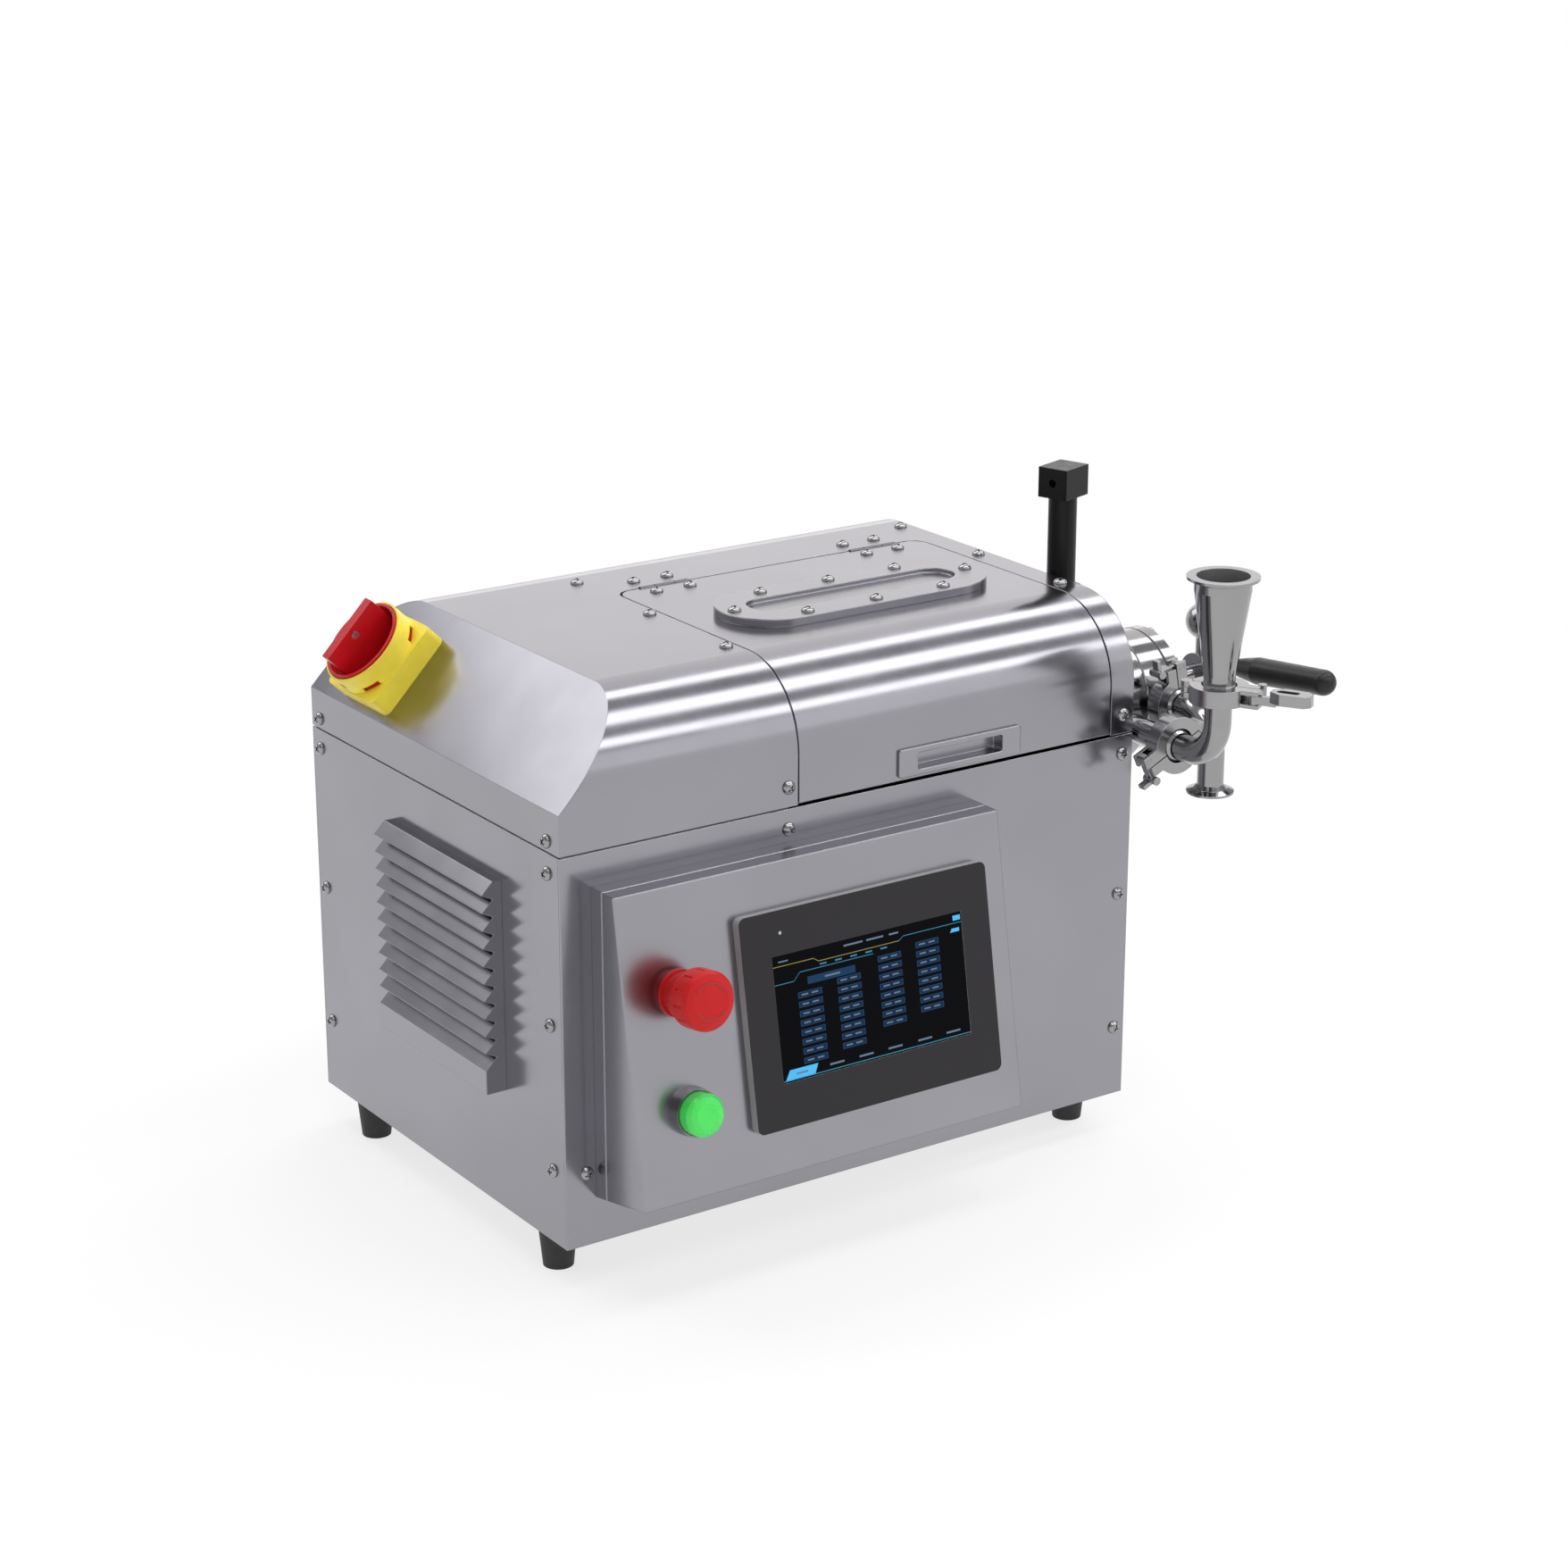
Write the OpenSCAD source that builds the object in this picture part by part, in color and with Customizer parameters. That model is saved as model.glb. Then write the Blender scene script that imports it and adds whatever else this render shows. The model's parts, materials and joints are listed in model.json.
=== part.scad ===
// Bench-top inline homogenizer: a sheet-metal housing with a hinged access lid, a belt-driven
// spindle, and a flanged process chamber with clamped pipework at the right end.
// The origin is on the floor, midway between the feet; +X points to the process head and -Y to the front.

/* [Housing] */
// Length of the housing from left to right
box_l = 470; // [450:1:520]
// Depth of the housing from front to back
box_d = 340; // [332:1:380]
// Height of the lower box
box_h = 274; // [264:1:300]
// Height of the arched cover above the lower box
cover_h = 94; // [90:1:110]
// Radius of the two long edges of the cover
cover_r = 58; // [48:1:62]
// Height of the upright band at the left end of the cover
band_h = 29; // [26:1:34]
// Horizontal run of the slanted left end
slant_run = 63; // [58:1:72]
// Thickness of the housing sheets
sheet = 2; // [1.5:0.1:2.5]
// Gap at the visible seams
seam = 1.2; // [0.6:0.1:1.4]
// Depth of the folded flanges and of the strip behind the seam
flange = 18; // [12:1:22]
// Thickness of the strip behind the seam
strip_t = 3; // [2:0.5:4]

/* [Feet] */
// Height of each foot
foot_h = 30; // [20:1:40]
// Radius of a foot at the top
foot_top_r = 13.5; // [12:0.5:16]
// Radius of a foot at the floor
foot_tip_r = 10.5; // [8:0.5:12]
// Distance of the feet from the housing ends
foot_in_x = 17; // [16:1:40]
// Distance of the feet from the front and the back
foot_in_y = 41; // [20:1:60]

/* [Lid] */
// Width of the fixed cover to the left of the lid
lid_left = 184; // [170:1:200]
// Width of the fixed strip to the right of the lid
lid_right = 20; // [18:1:26]
// Depth of the lid, measured from the front face
lid_depth = 231; // [220:1:240]
// Radius of the two rear corners of the lid
lid_corner = 14; // [8:1:18]
// Height of the lid's lower edge above the seam
lid_lift = 2.5; // [1.5:0.5:4]
// Gap between the lid and the cover along the hinges
hinge_gap = 2; // [1.8:0.1:2.6]
// Distance of each hinge from the side of the lid
hinge_in = 42; // [30:1:60]
// Length of a hinge
hinge_l = 40; // [36:1:50]
// Radius of the hinge barrels
barrel_r = 1.9; // [1.7:0.1:2.2]
// Radius of the hinge pins
pin_r = 1; // [0.8:0.1:1.2]
// Depth of the hinge axis below the top of the cover
pin_drop = 0.8; // [0.6:0.1:1]
// Length of a hinge leaf away from the barrel
leaf_l = 24; // [20:1:28]
// Thickness of a hinge leaf
leaf_t = 1.5; // [1:0.1:2]

/* [Inspection cover and pull] */
// Straight length of the inspection cover
insp_l = 139; // [120:1:150]
// Width of the inspection cover
insp_w = 78; // [66:1:84]
// Width of the pocket in the inspection cover
insp_pocket_w = 33; // [26:1:40]
// Thickness of the inspection cover
insp_t = 6; // [5:0.5:8]
// Depth of the pocket in the inspection cover
insp_pocket = 3.5; // [2:0.5:4]
// Distance of the inspection cover's middle from the front face
insp_back = 127; // [120:1:136]
// Length of the pull's flange
pull_l = 103; // [90:1:120]
// Height of the pull's flange
pull_h = 20; // [18:1:22]
// Thickness of the pull's flange
pull_t = 2; // [1:0.5:3]
// Length of the finger cup
cup_l = 72; // [60:1:80]
// Height of the finger cup
cup_h = 12; // [9:1:13]
// Depth of the finger cup
cup_d = 10; // [8:1:14]

/* [Louvre] */
// Number of blades
blade_n = 11; // [8:1:12]
// Distance from blade to blade
blade_pitch = 12.4; // [11.5:0.1:13]
// Height of one blade
blade_drop = 8.5; // [7:0.5:10]
// Distance of the upper blade edges from the panel
louvre_back = 7; // [5:0.5:9]
// Overall depth of the louvre
louvre_d = 15.5; // [13:0.5:18]
// Width of the louvre
louvre_w = 148; // [120:1:160]
// Thickness of the louvre sheet
louvre_t = 1.5; // [1:0.1:2]
// Height of the apron below the last blade
apron_h = 17; // [10:1:24]
// Distance of the louvre's middle in front of the panel's middle
louvre_fwd = 21; // [0:1:30]
// Height of the louvre's top above the underside of the housing
louvre_top = 238; // [230:1:244]

/* [Control box] */
// Length of the control box
ctrl_l = 307; // [290:1:330]
// Distance of the control box from the left end of the housing
ctrl_in = 23; // [15:1:40]
// Depth of the control box at the top
ctrl_top_d = 26.5; // [22:0.5:34]
// Depth of the control box at the foot of its face
ctrl_low_d = 61; // [55:1:70]
// Height of the control box's top above the underside of the housing
ctrl_top = 251; // [240:1:258]
// Height of the control face
ctrl_face_h = 206; // [190:1:212]
// Rise of the control box's underside towards the panel
ctrl_rise = 12; // [0:1:20]
// Depth of the control box's rear tray
ctrl_tray = 13; // [8:0.5:18]

/* [Operator controls] */
// Width of the touch panel
hmi_w = 200.4; // [190:0.1:210]
// Height of the touch panel
hmi_h = 146.5; // [130:0.1:150]
// Thickness of the touch panel's frame
hmi_t = 7; // [5:0.5:9]
// Corner radius of the touch panel
hmi_r = 5; // [3:0.5:8]
// Width of the screen
screen_w = 154; // [140:0.1:160]
// Height of the screen
screen_h = 86; // [80:0.1:96]
// Distance of the touch panel's middle from the right end of the control box
hmi_in = 119.4; // [110:0.1:125]
// Distance of the touch panel's middle above the foot of the face
hmi_up = 105; // [90:1:115]
// Distance of the two push buttons from the left end of the control box
button_in = 42; // [35:1:48]
// Distance of the emergency stop above the foot of the face
estop_up = 138; // [130:1:160]
// Distance of the start button above the foot of the face
start_up = 59; // [45:1:70]
// Radius of the emergency stop's head
estop_r = 20; // [18:0.5:22]
// Height of the emergency stop's head
estop_h = 27; // [24:0.5:30]
// Radius of the emergency stop's collar
estop_collar_r = 14.5; // [13:0.5:15.5]
// Height of the emergency stop's collar
estop_collar_h = 14; // [13:0.5:18]
// Radius of a button's mounting neck
neck_r = 11; // [10:0.5:12]
// Travel of the emergency stop
estop_travel = 4; // [3:0.5:5]
// Radius of the start button's cap
start_r = 14.5; // [13:0.5:15]
// Radius of the start button's ring
start_ring_r = 16.5; // [16:0.5:18]
// Height of the start button's ring
start_ring_h = 9; // [8:0.5:11]
// Height of the start button's cap above the face
start_cap_h = 21; // [18:0.5:24]
// Travel of the start button
start_travel = 2.5; // [2:0.5:3]

/* [Main switch] */
// Side of the square switch plate
switch_w = 66; // [63:1:68]
// Thickness of the switch plate
switch_t = 16; // [14:0.5:18]
// Outer radius of the switch collar
collar_r = 32.5; // [30:0.5:33]
// Height of the switch collar above its plate
collar_h = 16; // [14:0.5:18]
// Distance of the switch in front of the rear face
switch_in = 73; // [66:1:80]
// Distance of the switch up the slant
switch_up = 39; // [36:0.5:44]
// Length of the switch paddle
paddle_l = 50; // [44:1:52]
// Width of the switch paddle
paddle_w = 9; // [7:0.5:12]
// Height of the paddle's top above the slant
paddle_top = 48; // [44:1:52]

/* [Spindle and drive] */
// Distance of the spindle axis behind the front face
spindle_in = 70; // [66:1:80]
// Height of the spindle axis above the seam
spindle_up = 5.5; // [0:0.5:10]
// Radius of the spindle
spindle_r = 10; // [8:0.5:11]
// Outer radius of the bearings
bearing_r = 21; // [19:0.5:23]
// Width of a bearing
bearing_w = 14; // [12:0.5:16]
// Outer radius of the bearing housing
housing_r = 28; // [26:0.5:30]
// Length of the bearing housing
housing_l = 130; // [110:1:140]
// Thickness of the frame plate
frame_t = 12; // [8:1:14]
// Running radius of the spindle pulley
small_pulley_r = 30; // [26:1:34]
// Running radius of the motor pulley
large_pulley_r = 42; // [36:1:46]
// Width of the drive belt
belt_w = 20; // [16:1:24]
// Thickness of the drive belt
belt_t = 4; // [3:0.5:5]
// Radius of the motor body
motor_r = 60; // [54:1:64]
// Length of the motor body
motor_l = 170; // [150:1:180]
// Height of the motor axis above the underside of the housing
motor_up = 104; // [98:1:110]
// Distance of the motor axis behind the front face
motor_in = 150; // [140:1:165]
// Radius of the motor shaft
motor_shaft_r = 9.5; // [8:0.5:12]

/* [Process head] */
// Radius of the chamber body
chamber_r = 50; // [48:0.5:52]
// Length of the chamber body
chamber_l = 35; // [33:0.5:37]
// Radius of the outlet barrel
barrel_head_r = 44; // [42:0.5:45]
// Length of the outlet barrel
barrel_l = 23; // [22.5:0.5:26]
// Wall of the process chamber
chamber_wall = 9; // [7:0.5:10]
// Radius of the outer edges of the chamber body
chamber_edge = 5; // [2:0.5:7]
// Thickness of the end cover
cover_t = 9; // [7:0.5:11]
// Radius of the bolt circle of the end cover
bolt_circle = 37.5; // [36:0.5:38]
// Radius of a cover bolt
bolt_r = 3; // [2.5:0.25:3.5]
// Outer radius of the pipes
pipe_r = 9.5; // [9:0.25:10]
// Wall of the pipes
pipe_wall = 1.5; // [1:0.25:2]
// Bend radius of the pipes
bend_r = 28; // [26:0.5:30]
// Radius of the small ferrules
ferrule_r = 17; // [16.5:0.25:17.5]
// Radius of the hopper's top ferrule
hopper_ferrule_r = 25.25; // [24:0.25:27]
// Inner radius of the hopper's mouth
hopper_mouth_r = 18.5; // [17:0.25:20]
// Height of the hopper
hopper_h = 83; // [70:1:100]
// Distance of the feed port from the housing
feed_out = 12; // [11:0.5:13]
// Height of the feed port below the spindle axis
feed_low = 7.5; // [4:0.5:12]
// Distance of the feed joint in front of the housing
feed_fwd = 31; // [29:0.5:34]
// Length of the forward leg of the feed elbow
feed_leg = 45; // [44:0.5:48]
// Length of the upward leg of the feed elbow
feed_rise = 49; // [46:0.5:52]
// Distance of the outlet port from the housing
outlet_out = 47; // [46:0.5:48]
// Height of the outlet port above the spindle axis
outlet_high = 6; // [3:0.5:9]
// Distance of the outlet joint behind the housing's front face
outlet_back = 10; // [9:0.5:11]
// Length of the forward leg of the outlet elbow
outlet_leg = 41; // [40:0.5:43]
// Length of the downward leg of the outlet elbow
outlet_drop = 56.5; // [50:0.5:60]

/* [Clamps] */
// Outer radius of a pipe clamp
clamp_r = 20.5; // [20:0.25:21]
// Width of a pipe clamp
clamp_w = 12; // [11:0.5:12.5]
// Thickness of a gasket
gasket_t = 2; // [1.5:0.1:2.4]
// Radius of the clamp pins
clamp_pin_r = 2; // [1.6:0.1:2.2]
// Radius of the clamp knuckles
knuckle_r = 4; // [3.6:0.1:4.4]
// Reach of the hopper clamp's lever from its pipe axis
lever_reach = 68; // [60:1:76]

/* [Lock lever] */
// Length of the stud that carries the lock lever
stud_l = 68; // [46:1:74]
// Radius of the stud
stud_r = 8; // [7:0.5:9]
// Radius of the lever hub
hub_r = 16; // [14:0.5:18]
// Radius of the lever arms
arm_r = 6; // [5:0.5:7]
// Radius of the black grip
grip_r = 10; // [8.5:0.5:11]
// Length of the black grip
grip_l = 98; // [85:1:110]
// Distance from the hub to the grip
grip_start = 42; // [38:1:52]
// Angle of the grip above level
grip_angle = 7; // [0:1:20]
// Height of the grip's arm above the hub's axis
arm_up = 9; // [0:0.5:10]
// Radius of the rounded end of the upper arm
knob_r = 14; // [12:0.5:16]
// Height of the upper arm's end above the spindle axis
knob_up = 40; // [34:1:46]

/* [Support post] */
// Radius of the post
post_r = 10.3; // [9:0.1:11]
// Distance of the post from the end wall
post_out = 14; // [13:0.5:18]
// Distance of the post behind the front face
post_in = 102; // [98:1:110]
// Height of the post's clamp block above the top of the cover
post_up = 55; // [40:1:70]
// Height of the clamp block
block_h = 22; // [18:1:26]
// Length of the clamp block
block_l = 28; // [26:1:34]
// Width of the clamp block
block_w = 24; // [23:1:30]
// Turn of the clamp block about the post
block_turn = 18; // [0:1:40]
// Height of the post bracket
bracket_h = 26; // [20:1:30]

/* [Screws] */
// Radius of the screw heads
screw_r = 4.8; // [4:0.1:5.5]
// Height of the screw heads
screw_h = 3.4; // [2.5:0.1:4]
// Distance of the screws from the right end of the housing
screw_in = 9; // [7:0.5:12]
// Distance of the wall screws from the left end of the housing
screw_left = 16; // [12:1:22]
// Distance of the left end's screws behind the front face
screw_front = 16; // [12:1:24]
// Distance of the left end's screws from the rear face
screw_rear = 11; // [9:1:24]
// Distance of the cover's screws from the lid
screw_lid = 7.5; // [6:0.5:12]
// Distances of the top screws behind the front face
screw_back = [74, 170, 267]; // [60:1:280]
// Heights of the wall screws above the underside of the housing
screw_up = [52, 155]; // [20:1:200]
// Height of the cover's lower screws above the seam
screw_over = 15; // [10:0.5:18]
// Depth of the wall's upper screws below the seam
screw_under = 14; // [8:0.5:18]
// Height of the screws in the upright band above the seam
screw_band = 8; // [7:0.5:16]
// Distance of a hinge's screws from its middle
hinge_screw = 14; // [10:0.5:15]
// Distance of a hinge's screws behind the lid
hinge_screw_back = 16.7; // [10:0.1:18]

/* [Hidden] */
$fn = 64;
// Clearances: still joints, running fits, and moving parts that only pass each other
still = 0.05;
run = 0.05;
pass = 0.4;
// Overshoot of a cutting body
cut = 1;

x_l = -box_l / 2;
x_r = box_l / 2;
y_f = -box_d / 2;
y_b = box_d / 2;
z_low = foot_h;
z_seam = z_low + box_h;
z_band = z_seam + band_h;
z_top = z_seam + cover_h;
slant_rise = cover_h - band_h;
slant_a = atan2(slant_rise, slant_run);
seat = sheet + strip_t;

lid_x0 = x_l + lid_left;
lid_x1 = x_r - lid_right;
lid_y = y_f + lid_depth;
lid_mid = (lid_x0 + lid_x1) / 2;
lid_z = z_seam + lid_lift;
lip_reach = flange / 3;
hinge_y = lid_y - hinge_gap / 2;
hinge_z = z_top - pin_drop;
hinge_x = [lid_x0 + hinge_in, lid_x1 - hinge_in];
insp_y = y_f + insp_back;
pull_z = lid_z + pull_h / 2 + sheet;

spindle_y = y_f + spindle_in;
spindle_z = z_seam + spindle_up;
frame_x1 = x_r - sheet - seam / 2;
frame_x0 = frame_x1 - frame_t;
housing_flange = frame_t;
housing_x0 = frame_x0 - housing_l;
belt_x = housing_x0 - 2 * housing_flange - belt_w;
motor_y = y_f + motor_in;
motor_z = z_low + motor_up;
motor_x1 = belt_x - housing_flange;
motor_x0 = motor_x1 - motor_l;
pulley_rim = 3;

chamber_x1 = x_r + chamber_l;
barrel_x1 = chamber_x1 + barrel_l;
cover_x0 = barrel_x1 + gasket_t;
cover_x1 = cover_x0 + cover_t;
bore_r = pipe_r - pipe_wall;
feed_x = x_r + feed_out;
feed_z = spindle_z - feed_low;
feed_y = y_f - feed_fwd;
hopper_y = feed_y - feed_leg;
hopper_z = feed_z + feed_rise;
outlet_x = x_r + outlet_out;
outlet_z = spindle_z + outlet_high;
outlet_y = y_f + outlet_back;
drop_y = outlet_y - outlet_leg;
drop_z = outlet_z - outlet_drop;

// Rim, taper and neck of a clamped ferrule
rim_t = 1.5;
rim_slope = 20;
ferrule_step = 2.5;
ferrule_fillet = 3;
ferrule_neck = pipe_r + ferrule_step;
groove_r = ferrule_r + pass;
groove_half = gasket_t / 2 + rim_t + pass;
clamp_mouth = ferrule_neck + pass;
// Hinge knuckle, lug cheeks and swing latch of a clamp
knuckle_sink = 1;
knuckle_x = clamp_r + knuckle_r - knuckle_sink;
cheek_in = clamp_w / 4 + pass / 2;
cheek_sink = 2.5;
cheek_edge = 4;
latch_x = clamp_r + knuckle_r + cheek_sink;
latch_y = knuckle_r + knuckle_sink;
latch_head_r = 3;
latch_link = 17.5;
latch_half = 2;
latch_w = cheek_in - pass / 2;
cheek_back = latch_link - latch_y - latch_head_r - latch_head_r / 2;

stud_x1 = cover_x1 + stud_l;
lever_x = stud_x1 - hub_r / 2 - cover_t / 2;
lever_w = hub_r;

steel = [0.76, 0.76, 0.78];
satin = [0.68, 0.68, 0.70];
black = [0.08, 0.08, 0.09];
red = [0.75, 0.08, 0.08];
yellow = [0.90, 0.78, 0.15];

// Corners of a polygon moved inwards by d (counter-clockwise points)
function inward(p, d) = [
  for (i = [0:len(p) - 1])
    let (a = p[(i + len(p) - 1) % len(p)], b = p[i], c = p[(i + 1) % len(p)])
    let (u = (b - a) / norm(b - a), v = (c - b) / norm(c - b))
    let (n = [-u[1], u[0]], m = [-v[1], v[0]])
    b + (n + m) * d / (1 + n * m)
];

// Side outline of the upper cover
function cover_side() = [
  [x_l, z_seam + seam], [x_r, z_seam + seam], [x_r, z_top], [x_l + slant_run, z_top], [x_l, z_band]
];

// Side outline of the control box, as depth and height
function ctrl_side() = [
  [y_f, z_low + ctrl_top],
  [y_f - ctrl_top_d, z_low + ctrl_top],
  [y_f - ctrl_low_d, ctrl_z0],
  [y_f, ctrl_z0 - ctrl_rise]
];
ctrl_z0 = z_low + ctrl_top - ctrl_face_h;
ctrl_tilt = atan2(ctrl_low_d - ctrl_top_d, ctrl_face_h);
ctrl_x0 = x_l + ctrl_in;
ctrl_x1 = ctrl_x0 + ctrl_l;

// Extrude a Y-Z outline along X
module along_x(x, l) {
  translate([x, 0, 0]) rotate([90, 0, 90]) linear_extrude(l) children();
}

// Extrude an X-Z outline along Y
module along_y(y, l) {
  translate([0, y + l, 0]) rotate([90, 0, 0]) linear_extrude(l) children();
}

// Round bar along X
module bar_x(x, l, r) {
  translate([x, spindle_y, spindle_z]) rotate([0, 90, 0]) cylinder(h = l, r = r);
}

// A box from its lowest to its highest corner
module block(a, b) {
  translate(a) cube(b - a);
}

// Arch outline of the cover, moved inwards by d and open at the bottom
module arch(d, bottom) {
  w = box_d - 2 * d;
  r = cover_r - d;
  translate([-w / 2, bottom]) square([w, z_top - cover_r - bottom]);
  translate([-w / 2 + r, bottom]) square([w - 2 * r, z_top - d - bottom]);
  intersection() {
    for (s = [-1, 1]) translate([s * (w / 2 - r), z_top - cover_r]) circle(r);
    translate([-w, bottom]) square(2 * w);
  }
}

// Arched band between two depths below the outer face
module arch_band(x, l, d0, d1, bottom) {
  difference() {
    along_x(x, l) arch(d0, bottom);
    along_x(x - cut, l + 2 * cut) arch(d1, bottom - cut);
  }
}

// Plan of the lid opening, smaller by gap on the sides and by back at the rear
module lid_plan(gap, back) {
  r = lid_corner - gap;
  x0 = lid_x0 + gap;
  x1 = lid_x1 - gap;
  translate([x0, y_f - cut]) square([x1 - x0, lid_depth + cut - back - r]);
  translate([x0 + r, y_f - cut]) square([x1 - x0 - 2 * r, lid_depth + cut - back]);
  for (x = [x0 + r, x1 - r]) translate([x, lid_y - back - r]) circle(r);
}

// Stadium outline
module stadium(l, w) {
  square([l, w], center = true);
  for (s = [-1, 1]) translate([s * l / 2, 0]) circle(w / 2);
}

// Rounded rectangle outline
module round_rect(w, h, r) {
  square([w - 2 * r, h], center = true);
  square([w, h - 2 * r], center = true);
  for (i = [-1, 1], j = [-1, 1]) translate([i * (w / 2 - r), j * (h / 2 - r)]) circle(r);
}

// Place on the slanted end: X up the slope, Z outwards
module on_slant() {
  translate([x_l, 0, z_band]) rotate([0, -slant_a, 0])
    translate([switch_up, y_b - switch_in, 0]) children();
}

// Place on the control face: X along it, Y up it, Z outwards
module on_face(x, up) {
  translate([x, y_f - ctrl_low_d, ctrl_z0]) rotate([90 - ctrl_tilt, 0, 0]) translate([0, up, 0]) children();
}

// Cut-out for a hinge barrel in the lid and the cover
module hinge_notch() {
  for (x = hinge_x)
    block([x - hinge_l / 2 - pass, hinge_y - barrel_r - pass, hinge_z - barrel_r - leaf_t - sheet],
      [x + hinge_l / 2 + pass, hinge_y + barrel_r + pass, z_top + cut]);
}

module base_tray() {
  e = sheet + still;
  color(satin) difference() {
    block([x_l + e, y_f + e, z_low], [x_r - e, y_b - e, z_low + flange]);
    block([x_l + e + sheet, y_f + e + sheet, z_low + sheet],
      [x_r, y_b - e - sheet, z_low + flange + cut]);
  }
}

module feet() {
  color(black) for (i = [-1, 1], j = [-1, 1])
    translate([i * (box_l / 2 - foot_in_x), j * (box_d / 2 - foot_in_y), 0])
      cylinder(h = foot_h, r1 = foot_tip_r, r2 = foot_top_r);
}

module front_panel() {
  grommet_r = 24;
  color(satin) difference() {
    union() {
      block([x_l, y_f, z_low], [x_r, y_f + sheet, z_seam]);
      block([x_l + seat, y_f, z_seam - sheet], [frame_x0 - seam, y_f + sheet + flange, z_seam]);
    }
    translate([ctrl_x0 + ctrl_l / 2, y_f - cut, ctrl_z0 + ctrl_face_h / 2])
      rotate([-90, 0, 0]) cylinder(h = sheet + 2 * cut, r = grommet_r);
  }
}

module rear_panel() {
  color(satin) difference() {
    block([x_l, y_b - sheet, z_low], [x_r, y_b, z_seam]);
    translate(gland_at) rotate([-90, 0, 0]) cylinder(h = 4 * sheet, r = gland_r + still, center = true);
  }
}
gland_r = 10;
gland_in = 60;
gland_at = [x_l + gland_in, y_b, z_low + gland_in];

module cable_gland() {
  nut_r = 1.4 * gland_r;
  nut_t = 6;
  taper = 2;
  color(black) translate(gland_at) rotate([-90, 0, 0]) difference() {
    union() {
      cylinder(h = nut_t, r = nut_r, $fn = 6);
      translate([0, 0, nut_t]) cylinder(h = 2 * nut_t, r1 = gland_r + taper, r2 = gland_r - taper);
      translate([0, 0, -sheet - nut_t]) cylinder(h = sheet + nut_t + cut, r = gland_r);
      translate([0, 0, -sheet - nut_t]) cylinder(h = nut_t, r = nut_r, $fn = 6);
    }
    translate([0, 0, -2 * nut_t]) cylinder(h = 6 * nut_t, r = gland_r / 2);
  }
}

module left_panel() {
  e = sheet + still;
  color(satin) difference() {
    block([x_l, y_f + e, z_low], [x_l + sheet, y_b - e, z_seam]);
    block([x_l - cut, louvre_y0 + 2 * louvre_t, louvre_z0 + apron_h],
      [x_l + seat, louvre_y1 - 2 * louvre_t, louvre_z1 - blade_drop]);
  }
}

module right_panel() {
  e = sheet + still;
  color(satin) difference() {
    block([x_r - sheet, y_f + e, z_low], [x_r, y_b - e, z_seam]);
    bar_x(x_r - sheet - cut, sheet + 2 * cut, spigot_r + pass);
  }
}

louvre_y0 = -louvre_fwd - louvre_w / 2;
louvre_y1 = louvre_y0 + louvre_w;
louvre_z1 = z_low + louvre_top;
louvre_z0 = louvre_z1 - (blade_n - 1) * blade_pitch - blade_drop - apron_h;

module louvre_vent() {
  inner = x_l - louvre_back;
  tip = x_l - louvre_d;
  // Toothed side wall: one tooth for each blade, then the apron
  side = concat(
    [[x_l, louvre_z1]],
    [for (i = [0:blade_n - 1]) each [
      [inner, louvre_z1 - i * blade_pitch], [tip, louvre_z1 - i * blade_pitch - blade_drop]]],
    [[tip, louvre_z0], [x_l, louvre_z0]]
  );
  slope = norm([tip - inner, blade_drop]);
  thick = louvre_t * slope / blade_drop;
  color(steel) union() {
    for (y = [louvre_y0, louvre_y1 - louvre_t]) along_y(y, louvre_t) polygon(side);
    for (i = [0:blade_n - 1]) translate([0, 0, louvre_z1 - i * blade_pitch])
      along_y(louvre_y0, louvre_w)
        polygon([[inner, 0], [tip, -blade_drop], [tip + thick, -blade_drop], [inner + thick, 0]]);
    block([inner, louvre_y0, louvre_z1 - louvre_t], [x_l, louvre_y1, louvre_z1]);
    block([tip, louvre_y0, louvre_z0], [x_l, louvre_y1, louvre_z0 + louvre_t]);
    block([tip, louvre_y0, louvre_z0], [tip + louvre_t, louvre_y1, louvre_z0 + apron_h]);
  }
}

module upper_cover() {
  color(steel) difference() {
    union() {
      difference() {
        intersection() {
          along_x(x_l - cut, box_l + 2 * cut) arch(0, z_seam + seam);
          along_y(y_f - cut, box_d + 2 * cut) polygon(cover_side());
        }
        intersection() {
          along_x(x_l, box_l + 2 * cut) arch(sheet, z_seam - cut);
          along_y(y_f, box_d) polygon([for (p = inward(cover_side(), sheet))
            [p[0] > 0 ? x_r + cut : p[0], p[1] < z_band - band_h / 2 ? z_seam - cut : p[1]]]);
        }
        translate([0, 0, z_seam - cut]) linear_extrude(cover_h + 2 * cut) lid_plan(0, 0);
      }
      for (side = [0, 1]) {
        edge = side == 0 ? lid_x0 : lid_x1;
        behind_cover = side == 0 ? edge - lip_reach : edge - still;
        behind_lid = side == 0 ? edge - still : edge - lip_reach;
        intersection() {
          union() {
            arch_band(behind_cover, lip_reach + still, sheet - still, 2 * sheet, z_seam + seam);
            arch_band(behind_lid, lip_reach + still, sheet + pass, 2 * sheet, z_seam + seam);
          }
          block([x_l, y_f, z_seam], [x_r, hinge_y - lid_corner, z_top]);
        }
      }
    }
    hinge_notch();
    on_slant() cylinder(h = 4 * sheet, r = switch_boss_r + pass, center = true);
  }
}
switch_boss_r = 14;

module end_wall() {
  color(steel) difference() {
    along_x(x_r - sheet, sheet) arch(sheet + still, z_seam + seam);
    bar_x(x_r - sheet - cut, sheet + 2 * cut, spigot_r + pass);
  }
}
spigot_r = housing_r + 2;

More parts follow.
